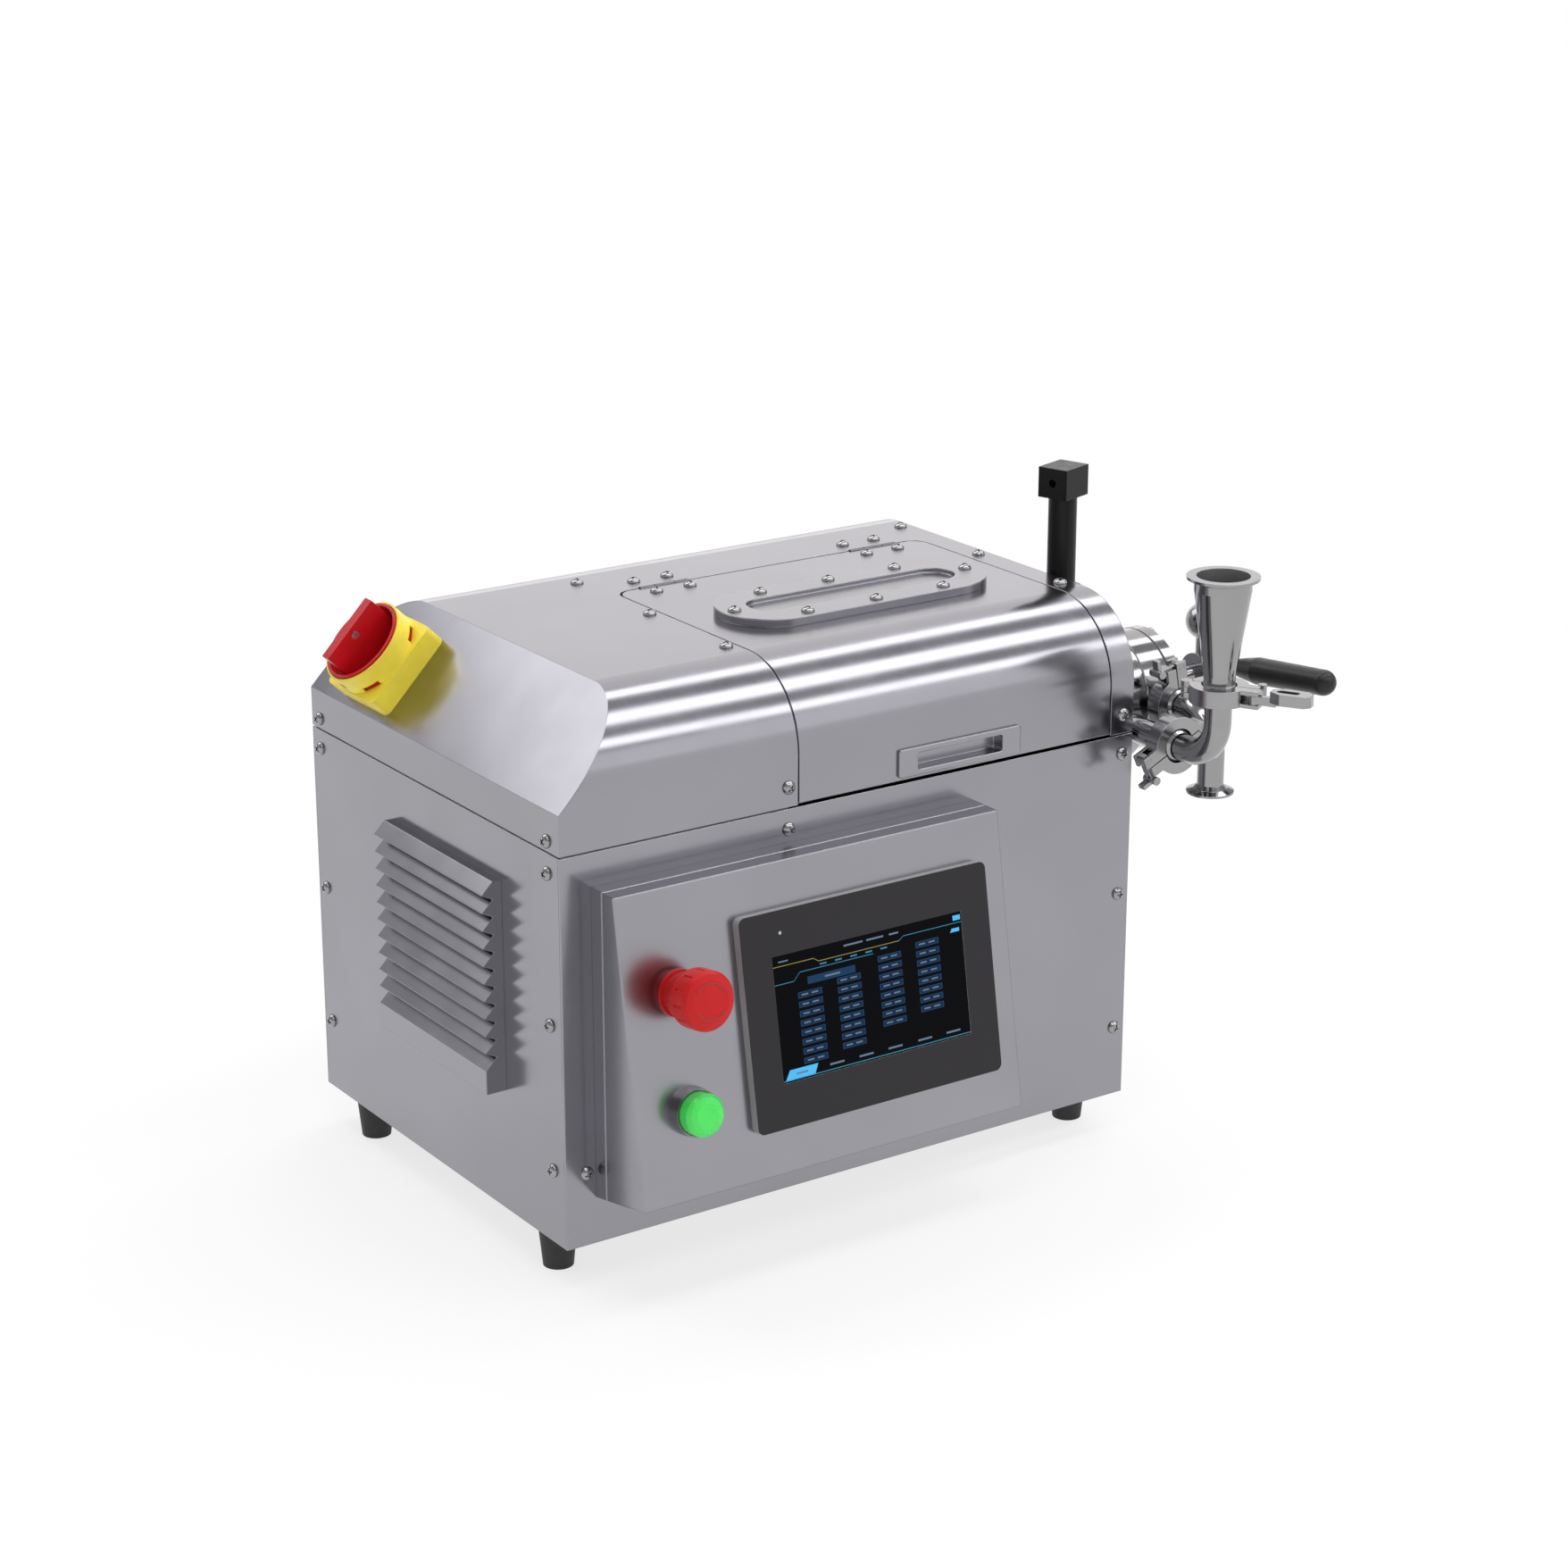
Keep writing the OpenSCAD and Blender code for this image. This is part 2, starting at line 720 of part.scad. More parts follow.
module frame_plate() {
  top = z_top - cover_r / 2 - seat;
  half = box_d / 2 - cover_r / 2;
  base = z_low + sheet;
  foot = 3 * frame_t;
  color(satin) difference() {
    union() {
      block([frame_x0, -half, base], [frame_x1, half, top]);
      block([frame_x0 - foot, -half, base], [frame_x0 + cut, half, base + frame_t]);
    }
    bar_x(frame_x0 - cut, frame_t + 2 * cut, spigot_r + still);
    // Lightening window behind the spindle
    block([frame_x0 - cut, spindle_y + 2 * housing_r, z_low + 4 * frame_t],
      [frame_x1 + cut, half - 2 * frame_t, top - 2 * frame_t]);
  }
}

module seam_strip() {
  e = sheet + still;
  z0 = z_seam - flange - sheet;
  z1 = z_seam + flange + seam;
  x1 = frame_x0 - seam;
  color(satin) union() {
    block([x_l + e, y_f + e, z0], [x_l + seat, y_b - e, z1]);
    block([x_l + e, y_b - seat, z0], [x1, y_b - e, z1]);
    difference() {
      block([x_l + e, y_f + e, z0], [lid_x0 - lip_reach - pass, y_f + seat, z1]);
      block([x_l + seat - still, y_f, z_seam - e], [x_r, y_f + flange + e, z_seam + still]);
    }
  }
}

// Barrels of one hinge leaf: x ranges along the hinge, measured from its middle
module barrels(ranges) {
  for (x = hinge_x, s = ranges)
    translate([x + s[0], hinge_y, hinge_z]) rotate([0, 90, 0]) cylinder(h = s[1] - s[0], r = barrel_r);
}
module pin_holes(r) {
  for (x = hinge_x)
    translate([x - hinge_l / 2 - cut, hinge_y, hinge_z]) rotate([0, 90, 0])
      cylinder(h = hinge_l + 2 * cut, r = r);
}
leaf_top = z_top - sheet - still;
leaf_start = barrel_r + 2 * pass;
mid_barrel = [[-hinge_l / 5, hinge_l / 5]];
end_barrels = [[-hinge_l / 2, -hinge_l / 5 - pass], [hinge_l / 5 + pass, hinge_l / 2]];

module cover_hinge_leaves() {
  low = leaf_top - leaf_t;
  web = mid_barrel[0];
  color(steel) difference() {
    union() {
      barrels(mid_barrel);
      for (x = hinge_x) {
        block([x + web[0], hinge_y, low], [x + web[1], hinge_y + barrel_r, hinge_z]);
        block([x + web[0], hinge_y, low], [x + web[1], hinge_y + 2 * barrel_r, leaf_top]);
        block([x - hinge_l / 2, hinge_y + leaf_start, low], [x + hinge_l / 2, hinge_y + leaf_l, leaf_top]);
      }
    }
    pin_holes(pin_r + still);
  }
}

module lid_hinge_leaves() {
  low = leaf_top - leaf_t;
  color(steel) difference() {
    union() {
      barrels(end_barrels);
      for (x = hinge_x, s = end_barrels) {
        block([x + s[0], hinge_y - barrel_r, low], [x + s[1], hinge_y, hinge_z]);
        block([x + s[0], hinge_y - 2 * barrel_r, low], [x + s[1], hinge_y, leaf_top]);
      }
      for (x = hinge_x)
        block([x - hinge_l / 2, hinge_y - leaf_l, low], [x + hinge_l / 2, hinge_y - leaf_start, leaf_top]);
    }
    pin_holes(pin_r + run);
  }
}

module hinge_pins() {
  color(steel) for (x = hinge_x)
    translate([x - hinge_l / 2, hinge_y, hinge_z]) rotate([0, 90, 0]) cylinder(h = hinge_l, r = pin_r);
}

module lid() {
  color(steel) difference() {
    intersection() {
      arch_band(lid_x0, lid_x1 - lid_x0, 0, sheet, lid_z);
      translate([0, 0, z_seam - cut]) linear_extrude(cover_h + 2 * cut) lid_plan(seam, hinge_gap);
    }
    hinge_notch();
    translate([lid_mid, insp_y, z_top - 2 * sheet]) linear_extrude(4 * sheet)
      stadium(insp_l, insp_pocket_w - 2 * sheet);
    translate([lid_mid, y_f, pull_z]) rotate([90, 0, 0]) linear_extrude(4 * sheet, center = true)
      round_rect(cup_l + 2 * sheet + still, cup_h + 2 * sheet + still, sheet);
  }
}

module inspection_cover() {
  color(steel) translate([lid_mid, insp_y, z_top]) difference() {
    linear_extrude(insp_t) stadium(insp_l, insp_w);
    translate([0, 0, insp_t - insp_pocket]) linear_extrude(insp_pocket + cut) stadium(insp_l, insp_pocket_w);
  }
}

module lid_pull() {
  color(steel) translate([lid_mid, y_f, pull_z]) rotate([90, 0, 0]) difference() {
    union() {
      linear_extrude(pull_t) round_rect(pull_l, pull_h, sheet);
      translate([0, 0, -cup_d]) linear_extrude(cup_d + pull_t / 2)
        round_rect(cup_l + 2 * sheet, cup_h + 2 * sheet, sheet);
    }
    translate([0, 0, -cup_d + sheet]) linear_extrude(cup_d + pull_t + cut) round_rect(cup_l, cup_h, sheet);
  }
}

module control_box() {
  side = ctrl_side();
  inner = inward(side, sheet);
  opened = [[y_f + cut, inner[0][1]], inner[1], inner[2], [y_f + cut, inner[3][1]]];
  groove = sheet / 2;
  color(satin) difference() {
    along_x(ctrl_x0, ctrl_l) polygon(side);
    along_x(ctrl_x0 + sheet, ctrl_l - 2 * sheet) polygon(opened);
    for (up = [estop_up, start_up])
      on_face(ctrl_x0 + button_in, up) cylinder(h = 4 * sheet, r = neck_r + still, center = true);
    on_face(ctrl_x1 - hmi_in, hmi_up) cube([hmi_back_w, hmi_back_h, 4 * sheet], center = true);
    // Seam between the rear tray and the front cover
    difference() {
      block([ctrl_x0 - cut, y_f - ctrl_tray - seam, z_low], [ctrl_x1 + cut, y_f - ctrl_tray, z_seam]);
      along_x(ctrl_x0 + groove, ctrl_l - 2 * groove) polygon(inward(side, groove));
    }
  }
}

glass_t = 2;
hmi_back_w = hmi_w - 4 * hmi_r;
hmi_back_h = hmi_h - 4 * hmi_r;
module panel_bezel() {
  rear_d = 24;
  color(black) on_face(ctrl_x1 - hmi_in, hmi_up) difference() {
    union() {
      linear_extrude(hmi_t) round_rect(hmi_w, hmi_h, hmi_r);
      translate([0, 0, -rear_d]) linear_extrude(rear_d + cut)
        square([hmi_back_w - 2 * pass, hmi_back_h - 2 * pass], center = true);
    }
    translate([0, 0, hmi_t - glass_t]) linear_extrude(glass_t + cut)
      square([screen_w, screen_h], center = true);
  }
}

module panel_glass() {
  color([0.02, 0.03, 0.06]) on_face(ctrl_x1 - hmi_in, hmi_up)
    translate([0, 0, hmi_t - glass_t]) linear_extrude(glass_t - pass)
      square([screen_w - 2 * still, screen_h - 2 * still], center = true);
}

// Hollow neck with a nut behind the face, for both push buttons
module button_neck(bore) {
  nut_t = 5;
  nut_over = 3;
  tail = sheet + 2 * nut_t;
  difference() {
    union() {
      translate([0, 0, -tail]) cylinder(h = tail + cut, r = neck_r);
      translate([0, 0, -sheet - still - nut_t]) cylinder(h = nut_t, r = neck_r + nut_over, $fn = 6);
      children();
    }
    translate([0, 0, -tail - cut]) cylinder(h = tail + estop_collar_h + start_ring_h, r = bore);
  }
}

stem_r = 7;
estop_gap = estop_travel + 1;
module estop_base() {
  foot_r = estop_collar_r + 1.5;
  foot_t = 2.5;
  color(red) on_face(ctrl_x0 + button_in, estop_up) button_neck(stem_r + run) rotate_extrude() polygon([
    [0, 0], [foot_r, 0], [foot_r, foot_t], [estop_collar_r, foot_t], [estop_collar_r, estop_collar_h],
    [0, estop_collar_h]
  ]);
}

// Mushroom head: a skirt that slides over the collar, a notched rim and a shallow dome
module estop_head() {
  skirt = 8;
  skirt_wall = 1.5;
  flare = 10;
  dome = 4;
  crown = 6;
  notch_n = 24;
  notch_r = 1.2;
  notch_l = 9;
  low = estop_collar_h + estop_gap - skirt;
  top = low + estop_h;
  bore = estop_collar_r + pass;
  color(red) on_face(ctrl_x0 + button_in, estop_up) union() {
    cylinder(h = low + skirt + cut, r = stem_r);
    difference() {
      rotate_extrude() polygon([
        [0, low + skirt], [bore, low + skirt], [bore, low], [bore + skirt_wall, low], [estop_r, low + flare],
        [estop_r, top - dome], [estop_r - dome / 2, top - dome / 4], [estop_r - crown, top], [0, top]
      ]);
      for (i = [0:notch_n - 1]) rotate([0, 0, i * 360 / notch_n])
        translate([estop_r + notch_r / 2, 0, top - dome - notch_l]) cylinder(h = notch_l, r = notch_r);
    }
  }
}

module button_ring() {
  foot_t = 3;
  lip = 1.5;
  well = start_ring_h - start_travel - 2;
  color(satin) on_face(ctrl_x0 + button_in, start_up) difference() {
    button_neck(stem_r + run) rotate_extrude() polygon([
      [0, 0], [start_ring_r, 0], [start_ring_r, foot_t], [start_r + lip, start_ring_h], [0, start_ring_h]
    ]);
    translate([0, 0, well]) cylinder(h = start_ring_h, r = start_r + pass);
  }
}

// Domed cap on its stem
module button_cap() {
  low = start_ring_h - 1;
  side = start_cap_h - low - 4;
  dome = 4;
  color([0.30, 0.85, 0.35]) on_face(ctrl_x0 + button_in, start_up) union() {
    cylinder(h = low + cut, r = stem_r);
    translate([0, 0, low]) rotate_extrude() polygon([
      [0, 0], [start_r, 0], [start_r, side], [start_r - dome / 2, side + dome * 5 / 8],
      [start_r - dome * 3 / 2, side + dome], [0, side + dome]
    ]);
  }
}

switch_stem_r = 8;
switch_wall = 1.5;
switch_tail = 4 * sheet;
switch_floor = switch_t - 4;
// Square plate and round collar, with windows at the collar's foot and padlock slots above them
module switch_base() {
  top = switch_t + collar_h;
  corner = 5;
  window_w = 14;
  window_h = 4;
  slot_w = 9;
  slot_h = 5;
  slot_z = switch_t + collar_h / 3;
  wall_in = collar_r - 3 * switch_wall;
  color(yellow) on_slant() difference() {
    union() {
      linear_extrude(switch_t) round_rect(switch_w, switch_w, corner);
      cylinder(h = top, r = collar_r);
      translate([0, 0, -switch_tail]) cylinder(h = switch_tail + cut, r = switch_boss_r);
    }
    translate([0, 0, switch_floor]) cylinder(h = top, r = collar_r - switch_wall);
    translate([0, 0, -switch_tail - cut]) cylinder(h = top + switch_tail, r = switch_stem_r + run);
    for (a = [45:90:315]) rotate([0, 0, a]) translate([wall_in, -window_w / 2, switch_t])
      cube([collar_r, window_w, window_h]);
    for (a = [0, 180]) rotate([0, 0, a]) translate([wall_in, -slot_w / 2, slot_z])
      cube([collar_r, slot_w, slot_h]);
  }
}

// Dished rotary handle with an upright paddle across it
module switch_handle() {
  floor_z = switch_floor + pass;
  rim_z = switch_t + collar_h + 1.5;
  dish_r = collar_r - switch_wall - pass;
  dish_floor = 4;
  dish_d = rim_z - floor_z - dish_floor;
  low_r = dish_r - 7;
  rim_w = 2;
  lock_hole_r = 3;
  lock_hole_in = 6;
  color(red) on_slant() union() {
    translate([0, 0, -switch_tail]) cylinder(h = floor_z + switch_tail + cut, r = switch_stem_r);
    difference() {
      translate([0, 0, floor_z]) cylinder(h = rim_z - floor_z, r = dish_r);
      translate([0, 0, floor_z + dish_floor])
        cylinder(h = 2 * dish_d, r1 = low_r, r2 = 2 * (dish_r - rim_w) - low_r);
    }
    difference() {
      translate([-paddle_l / 2, -paddle_w / 2, floor_z]) cube([paddle_l, paddle_w, paddle_top - floor_z]);
      translate([0, 0, paddle_top - lock_hole_in]) rotate([90, 0, 0])
        cylinder(h = 2 * paddle_w, r = lock_hole_r, center = true);
    }
  }
}

module motor() {
  fin_n = 24;
  fin_h = 6;
  fin_t = 2;
  bell = 22;
  base = z_low + sheet;
  color([0.35, 0.38, 0.42]) difference() {
    union() {
      translate([motor_x0, motor_y, motor_z]) rotate([0, 90, 0]) {
        cylinder(h = motor_l, r = motor_r - fin_h);
        cylinder(h = bell, r = motor_r);
        translate([0, 0, motor_l - bell]) cylinder(h = bell, r = motor_r);
        for (i = [0:fin_n - 1]) rotate([0, 0, i * 360 / fin_n])
          translate([0, -fin_t / 2, bell / 2]) cube([motor_r - fin_t / 2, fin_t, motor_l - bell]);
      }
      block([motor_x0 + bell, motor_y - motor_r, base],
        [motor_x1 - bell, motor_y + motor_r, base + bell / 2]);
      block([motor_x0 + 2 * bell, motor_y - motor_r / 2, base],
        [motor_x1 - 2 * bell, motor_y + motor_r / 2, motor_z - motor_r / 2]);
    }
    translate([motor_x1 - motor_l / 2, motor_y, motor_z]) rotate([0, 90, 0])
      cylinder(h = motor_l, r = motor_shaft_r + run);
  }
}

module inverter() {
  w = 110;
  d = 70;
  h = 130;
  fin = 8;
  slot_n = 6;
  base = z_low + sheet;
  x0 = frame_x0 - 4 * frame_t - w;
  y1 = y_b - seat - flange;
  color([0.25, 0.26, 0.28]) difference() {
    block([x0, y1 - d, base], [x0 + w, y1, base + h]);
    for (i = [1:slot_n]) {
      x = x0 + i * w / (slot_n + 1);
      block([x - fin / 4, y1 - fin, base + fin], [x + fin / 4, y1 + cut, base + h - fin]);
    }
    block([x0 + fin, y1 - d - cut, base + fin], [x0 + w - fin, y1 - d + fin / 4, base + h / 3]);
  }
}

bearing_play = 1;
bearing_room = bearing_w + 2 * bearing_play;
spindle_step = 2;
module bearing_housing() {
  shoulder = 5;
  color(satin) difference() {
    union() {
      bar_x(housing_x0, housing_l, housing_r);
      bar_x(frame_x0 - housing_flange, housing_flange, housing_r + housing_flange);
      bar_x(frame_x0 - cut, frame_t + cut, spigot_r);
    }
    bar_x(housing_x0 - cut, housing_l + frame_t + 2 * cut, bearing_r - shoulder);
    bar_x(housing_x0 - cut, bearing_room + cut, bearing_r + still);
    bar_x(frame_x0 - bearing_room, frame_t + bearing_room + cut, bearing_r + still);
  }
}

// Two ball bearings with a shallow shield recess on each side
module bearings() {
  race_t = 3.5;
  recess = 1;
  color(steel) for (x = [housing_x0 + bearing_play, frame_x0 - bearing_room + bearing_play]) difference() {
    bar_x(x, bearing_w, bearing_r);
    bar_x(x - cut, bearing_w + 2 * cut, spindle_r + run);
    for (side = [-cut, bearing_w - recess]) difference() {
      bar_x(x + side, recess + cut, bearing_r - race_t);
      bar_x(x + side - cut, recess + 3 * cut, spindle_r + race_t);
    }
  }
}

module spindle() {
  x0 = belt_x - 2 * pulley_rim;
  color(steel) union() {
    bar_x(x0, barrel_x1 - chamber_wall - x0, spindle_r);
    bar_x(housing_x0 + bearing_room, housing_l - 2 * bearing_room, spindle_r + spindle_step);
  }
}

// Flanged pulley of running radius r, at the origin, axis along X
module pulley(r, bore) {
  w = belt_w + 2 * pass;
  rim_r = r + belt_t + 2;
  rotate([0, 90, 0]) difference() {
    union() {
      translate([0, 0, -pulley_rim - pass]) cylinder(h = w + 2 * pulley_rim, r = r);
      for (z = [-pulley_rim - pass, w - pass]) translate([0, 0, z]) cylinder(h = pulley_rim, r = rim_r);
    }
    translate([0, 0, -2 * pulley_rim]) cylinder(h = w + 4 * pulley_rim, r = bore);
  }
}

module spindle_pulley() {
  color(satin) translate([belt_x, spindle_y, spindle_z]) pulley(small_pulley_r, spindle_r + still);
}

module motor_pulley() {
  color(satin) union() {
    translate([belt_x, motor_y, motor_z]) pulley(large_pulley_r, motor_shaft_r - still);
    translate([motor_x1 - motor_l / 4, motor_y, motor_z]) rotate([0, 90, 0])
      cylinder(h = belt_x - motor_x1 + motor_l / 4 + belt_w + pulley_rim, r = motor_shaft_r);
  }
}

// Outline round both pulleys, d outside their running radii
module belt_loop(d) {
  a = [spindle_y, spindle_z];
  b = [motor_y, motor_z];
  ra = small_pulley_r + d;
  rb = large_pulley_r + d;
  gap = norm(b - a);
  dir = (b - a) / gap;
  side = [-dir[1], dir[0]];
  sink = (ra - rb) / gap;
  lift = sqrt(1 - sink * sink);
  translate(a) circle(ra);
  translate(b) circle(rb);
  polygon([a + ra * (sink * dir + lift * side), a + ra * (sink * dir - lift * side),
    b + rb * (sink * dir - lift * side), b + rb * (sink * dir + lift * side)]);
}

module drive_belt() {
  color(black) difference() {
    along_x(belt_x, belt_w) belt_loop(pass + belt_t);
    along_x(belt_x - cut, belt_w + 2 * cut) belt_loop(pass);
  }
}

// Revolved ferrule with its sealing face at z = 0 and its pipe towards +Z
module ferrule(r, tube_r, inner_r, l) {
  neck = tube_r + ferrule_step;
  slope = (r - neck) * tan(rim_slope);
  rotate_extrude() polygon([[inner_r, 0], [r, 0], [r, rim_t], [neck, rim_t + slope],
    [tube_r, rim_t + slope + ferrule_fillet], [tube_r, l], [inner_r, l]]);
}

// Port on the front of the chamber: flanged pipe from its joint back to depth y1
module port(x, y, z, y1) {
  translate([x, y + gasket_t / 2, z]) rotate([-90, 0, 0]) ferrule(ferrule_r, pipe_r, 0, y1 - y);
}
module port_bore(x, y, z, y1) {
  translate([x, y, z]) rotate([-90, 0, 0]) cylinder(h = y1 - y, r = bore_r);
}

seal_l = 7;
cavity_r = barrel_head_r - chamber_wall;
module chamber_body() {
  x0 = x_r;
  e = chamber_edge;
  color(steel) difference() {
    union() {
      translate([x0, spindle_y, spindle_z]) rotate([0, 90, 0]) {
        cylinder(h = chamber_l - e, r = chamber_r);
        cylinder(h = chamber_l, r = chamber_r - e);
        rotate_extrude() translate([chamber_r - e, chamber_l - e]) circle(e);
      }
      bar_x(frame_x1, x_r - frame_x1 + cut, spigot_r);
      port(feed_x, feed_y, feed_z, spindle_y - chamber_r / 2);
    }
    bar_x(frame_x1 - cut, x_r - frame_x1 + seal_l + 2 * cut, seal_r + still);
    bar_x(x_r + seal_l, chamber_l, cavity_r);
    port_bore(feed_x, feed_y - cut, feed_z, spindle_y - spindle_r);
  }
}
seal_r = 17;

module shaft_seal() {
  color([0.25, 0.22, 0.20]) difference() {
    bar_x(frame_x1 + still, seal_l, seal_r);
    bar_x(frame_x1 - cut, seal_l + 3 * cut, spindle_r + run);
  }
}

module outlet_barrel() {
  color(steel) difference() {
    union() {
      bar_x(chamber_x1, barrel_l, barrel_head_r);
      port(outlet_x, outlet_y, outlet_z, spindle_y - cavity_r);
    }
    bar_x(chamber_x1 - cut, barrel_l + 2 * cut, cavity_r);
    port_bore(outlet_x, outlet_y - cut, outlet_z, spindle_y - spindle_r);
    cover_holes(chamber_x1 - cut, barrel_l + 2 * cut, bolt_r + still);
  }
}

bolt_n = 6;
module cover_holes(x, l, r) {
  for (i = [0:bolt_n - 1]) bolt_at(i) rotate([0, 90, 0]) translate([0, 0, x]) cylinder(h = l, r = r);
}
module bolt_at(i) {
  a = 30 + i * 360 / bolt_n;
  translate([0, spindle_y + bolt_circle * cos(a), spindle_z + bolt_circle * sin(a)]) children();
}

module chamber_cover() {
  boss_h = 6;
  color(steel) difference() {
    union() {
      bar_x(cover_x0, cover_t, barrel_head_r);
      bar_x(cover_x0, cover_t + boss_h, hub_r + boss_h * 2 / 3);
      bar_x(cover_x0, cover_t + stud_l, stud_r);
    }
    cover_holes(cover_x0 - cut, cover_t + 2 * cut, bolt_r + still);
  }
}

module cover_bolts() {
  head_r = 1.8 * bolt_r;
  head_h = 1.6 * bolt_r;
  x0 = chamber_x1 + still;
  color(steel) for (i = [0:bolt_n - 1]) bolt_at(i) rotate([0, 90, 0]) translate([0, 0, x0]) difference() {
    union() {
      cylinder(h = cover_x1 - x0 + cut, r = bolt_r);
      translate([0, 0, cover_x1 - x0]) cylinder(h = head_h, r = head_r);
    }
    translate([0, 0, cover_x1 - x0 + head_h / 2]) cylinder(h = head_h, r = bolt_r, $fn = 6);
  }
}

module gasket_ring(r) {
  difference() {
    cylinder(h = gasket_t, r = r, center = true);
    cylinder(h = 2 * gasket_t, r = bore_r, center = true);
  }
}

module gaskets() {
  color([0.9, 0.9, 0.88]) {
    translate([feed_x, feed_y, feed_z]) rotate([90, 0, 0]) gasket_ring(ferrule_r);
    translate([outlet_x, outlet_y, outlet_z]) rotate([90, 0, 0]) gasket_ring(ferrule_r);
    translate([feed_x, hopper_y, hopper_z]) gasket_ring(ferrule_r);
    difference() {
      bar_x(barrel_x1, gasket_t, barrel_head_r);
      bar_x(barrel_x1 - cut, gasket_t + 2 * cut, cavity_r);
      cover_holes(barrel_x1 - cut, gasket_t + 2 * cut, bolt_r + still);
    }
  }
}

// Elbow with clamped ends: joint at the origin, first leg along -Y, second leg along +Z
module elbow(leg_a, leg_b) {
  half = gasket_t / 2;
  difference() {
    union() {
      translate([0, -half, 0]) rotate([90, 0, 0]) ferrule(ferrule_r, pipe_r, 0, leg_a - bend_r - half);
      translate([0, -leg_a, leg_b - half]) rotate([180, 0, 0])
        ferrule(ferrule_r, pipe_r, 0, leg_b - bend_r - half);
      translate([0, -leg_a + bend_r, 0]) bend(pipe_r);
    }
    translate([0, cut, 0]) rotate([90, 0, 0]) cylinder(h = leg_a - bend_r + cut, r = bore_r);
    translate([0, -leg_a, bend_r]) cylinder(h = leg_b, r = bore_r);
    translate([0, -leg_a + bend_r, 0]) bend(bore_r);
  }
}
module bend(r) {
  translate([0, 0, bend_r]) rotate([0, 90, 0]) intersection() {
    rotate_extrude() translate([bend_r, 0]) circle(r);
    translate([0, -2 * bend_r, -bend_r]) cube([2 * bend_r, 2 * bend_r, 2 * bend_r]);
  }
}

module feed_elbow() {
  color(steel) translate([feed_x, feed_y, feed_z]) elbow(feed_leg, feed_rise);
}

module outlet_elbow() {
  color(steel) translate([outlet_x, outlet_y, outlet_z]) mirror([0, 0, 1]) elbow(outlet_leg, outlet_drop);
}

hopper_wall = 1.5;
module hopper_profile() {
  h = hopper_h - gasket_t / 2;
  neck = 12;
  lip = 4;
  collar = lip + 6;
  rim_low = rim_t + 0.5;
  top_r = hopper_mouth_r + hopper_wall;
  low_r = pipe_r + hopper_wall;
  flare = rim_t + (ferrule_r - ferrule_neck) * tan(rim_slope);
  polygon([
    [bore_r, 0], [ferrule_r, 0], [ferrule_r, rim_t], [ferrule_neck, flare],
    [low_r, flare + ferrule_step], [low_r, neck], [top_r, h - collar], [top_r, h - lip],
    [hopper_ferrule_r, h - rim_low], [hopper_ferrule_r, h], [hopper_mouth_r, h],
    [hopper_mouth_r, h - collar], [bore_r, neck]
  ]);
}

module feed_hopper() {
  color(steel) translate([feed_x, hopper_y, hopper_z + gasket_t / 2]) rotate_extrude() hopper_profile();
}

// Clamp frame: pipe axis along Z, lugs at +X, hinge at -X; the jaw is the -Y half
module at_feed_clamp() {
  translate([feed_x, feed_y, feed_z]) rotate([90, 0, 0]) rotate([0, 0, feed_lug]) children();
}
module at_outlet_clamp() {
  translate([outlet_x, outlet_y, outlet_z]) rotate([90, 0, 0]) rotate([0, 0, outlet_lug]) children();
}
module at_hopper_clamp() {
  translate([feed_x, hopper_y, hopper_z]) rotate([0, 0, hopper_lug]) children();
}
feed_lug = 205;
outlet_lug = 100;
hopper_lug = -60;

// Half of the grooved ring on the +Y side
module clamp_ring() {
  w = clamp_w / 2;
  g = groove_half;
  mouth_half = g + (groove_r - clamp_mouth) * tan(rim_slope);
  intersection() {
    rotate_extrude() difference() {
      translate([clamp_mouth, -w]) square([clamp_r - clamp_mouth, 2 * w]);
      polygon([[clamp_mouth - cut, -mouth_half], [clamp_mouth, -mouth_half], [groove_r, -g], [groove_r, g],
        [clamp_mouth, mouth_half], [clamp_mouth - cut, mouth_half]]);
    }
    translate([-2 * clamp_r, pass, -w - cut]) cube([4 * clamp_r, 2 * clamp_r, 2 * w + 2 * cut]);
  }
}

// Two lug cheeks on the +Y side, reaching x1 along X and y1 along Y
module cheeks(x1, y1) {
  for (z = [-clamp_w / 2, cheek_in]) translate([clamp_r - cheek_sink, pass, z])
    cube([x1 - clamp_r + cheek_sink, y1 - pass, clamp_w / 2 - cheek_in]);
}

// Hinge knuckle between two heights, with its web to the ring on the +Y side
module knuckle(z0, z1) {
  translate([-knuckle_x, 0, z0]) cylinder(h = z1 - z0, r = knuckle_r);
  translate([-knuckle_x, pass, z0]) cube([knuckle_r, knuckle_r - pass, z1 - z0]);
}
module knuckle_room(z0, z1) {
  translate([-knuckle_x, 0, z0]) cylinder(h = z1 - z0, r = knuckle_r + pass);
}
third = clamp_w / 6;

module clamp_half() {
  w = clamp_w / 2;
  color(satin) difference() {
    union() {
      difference() {
        clamp_ring();
        knuckle_room(third, w + cut);
        knuckle_room(-w - cut, -third);
      }
      knuckle(-third + run, third - run);
      cheeks(latch_x + clamp_pin_r / 4, cheek_back);
    }
    translate([-knuckle_x, 0, -w - cut]) cylinder(h = clamp_w + 2 * cut, r = clamp_pin_r + still);
  }
}

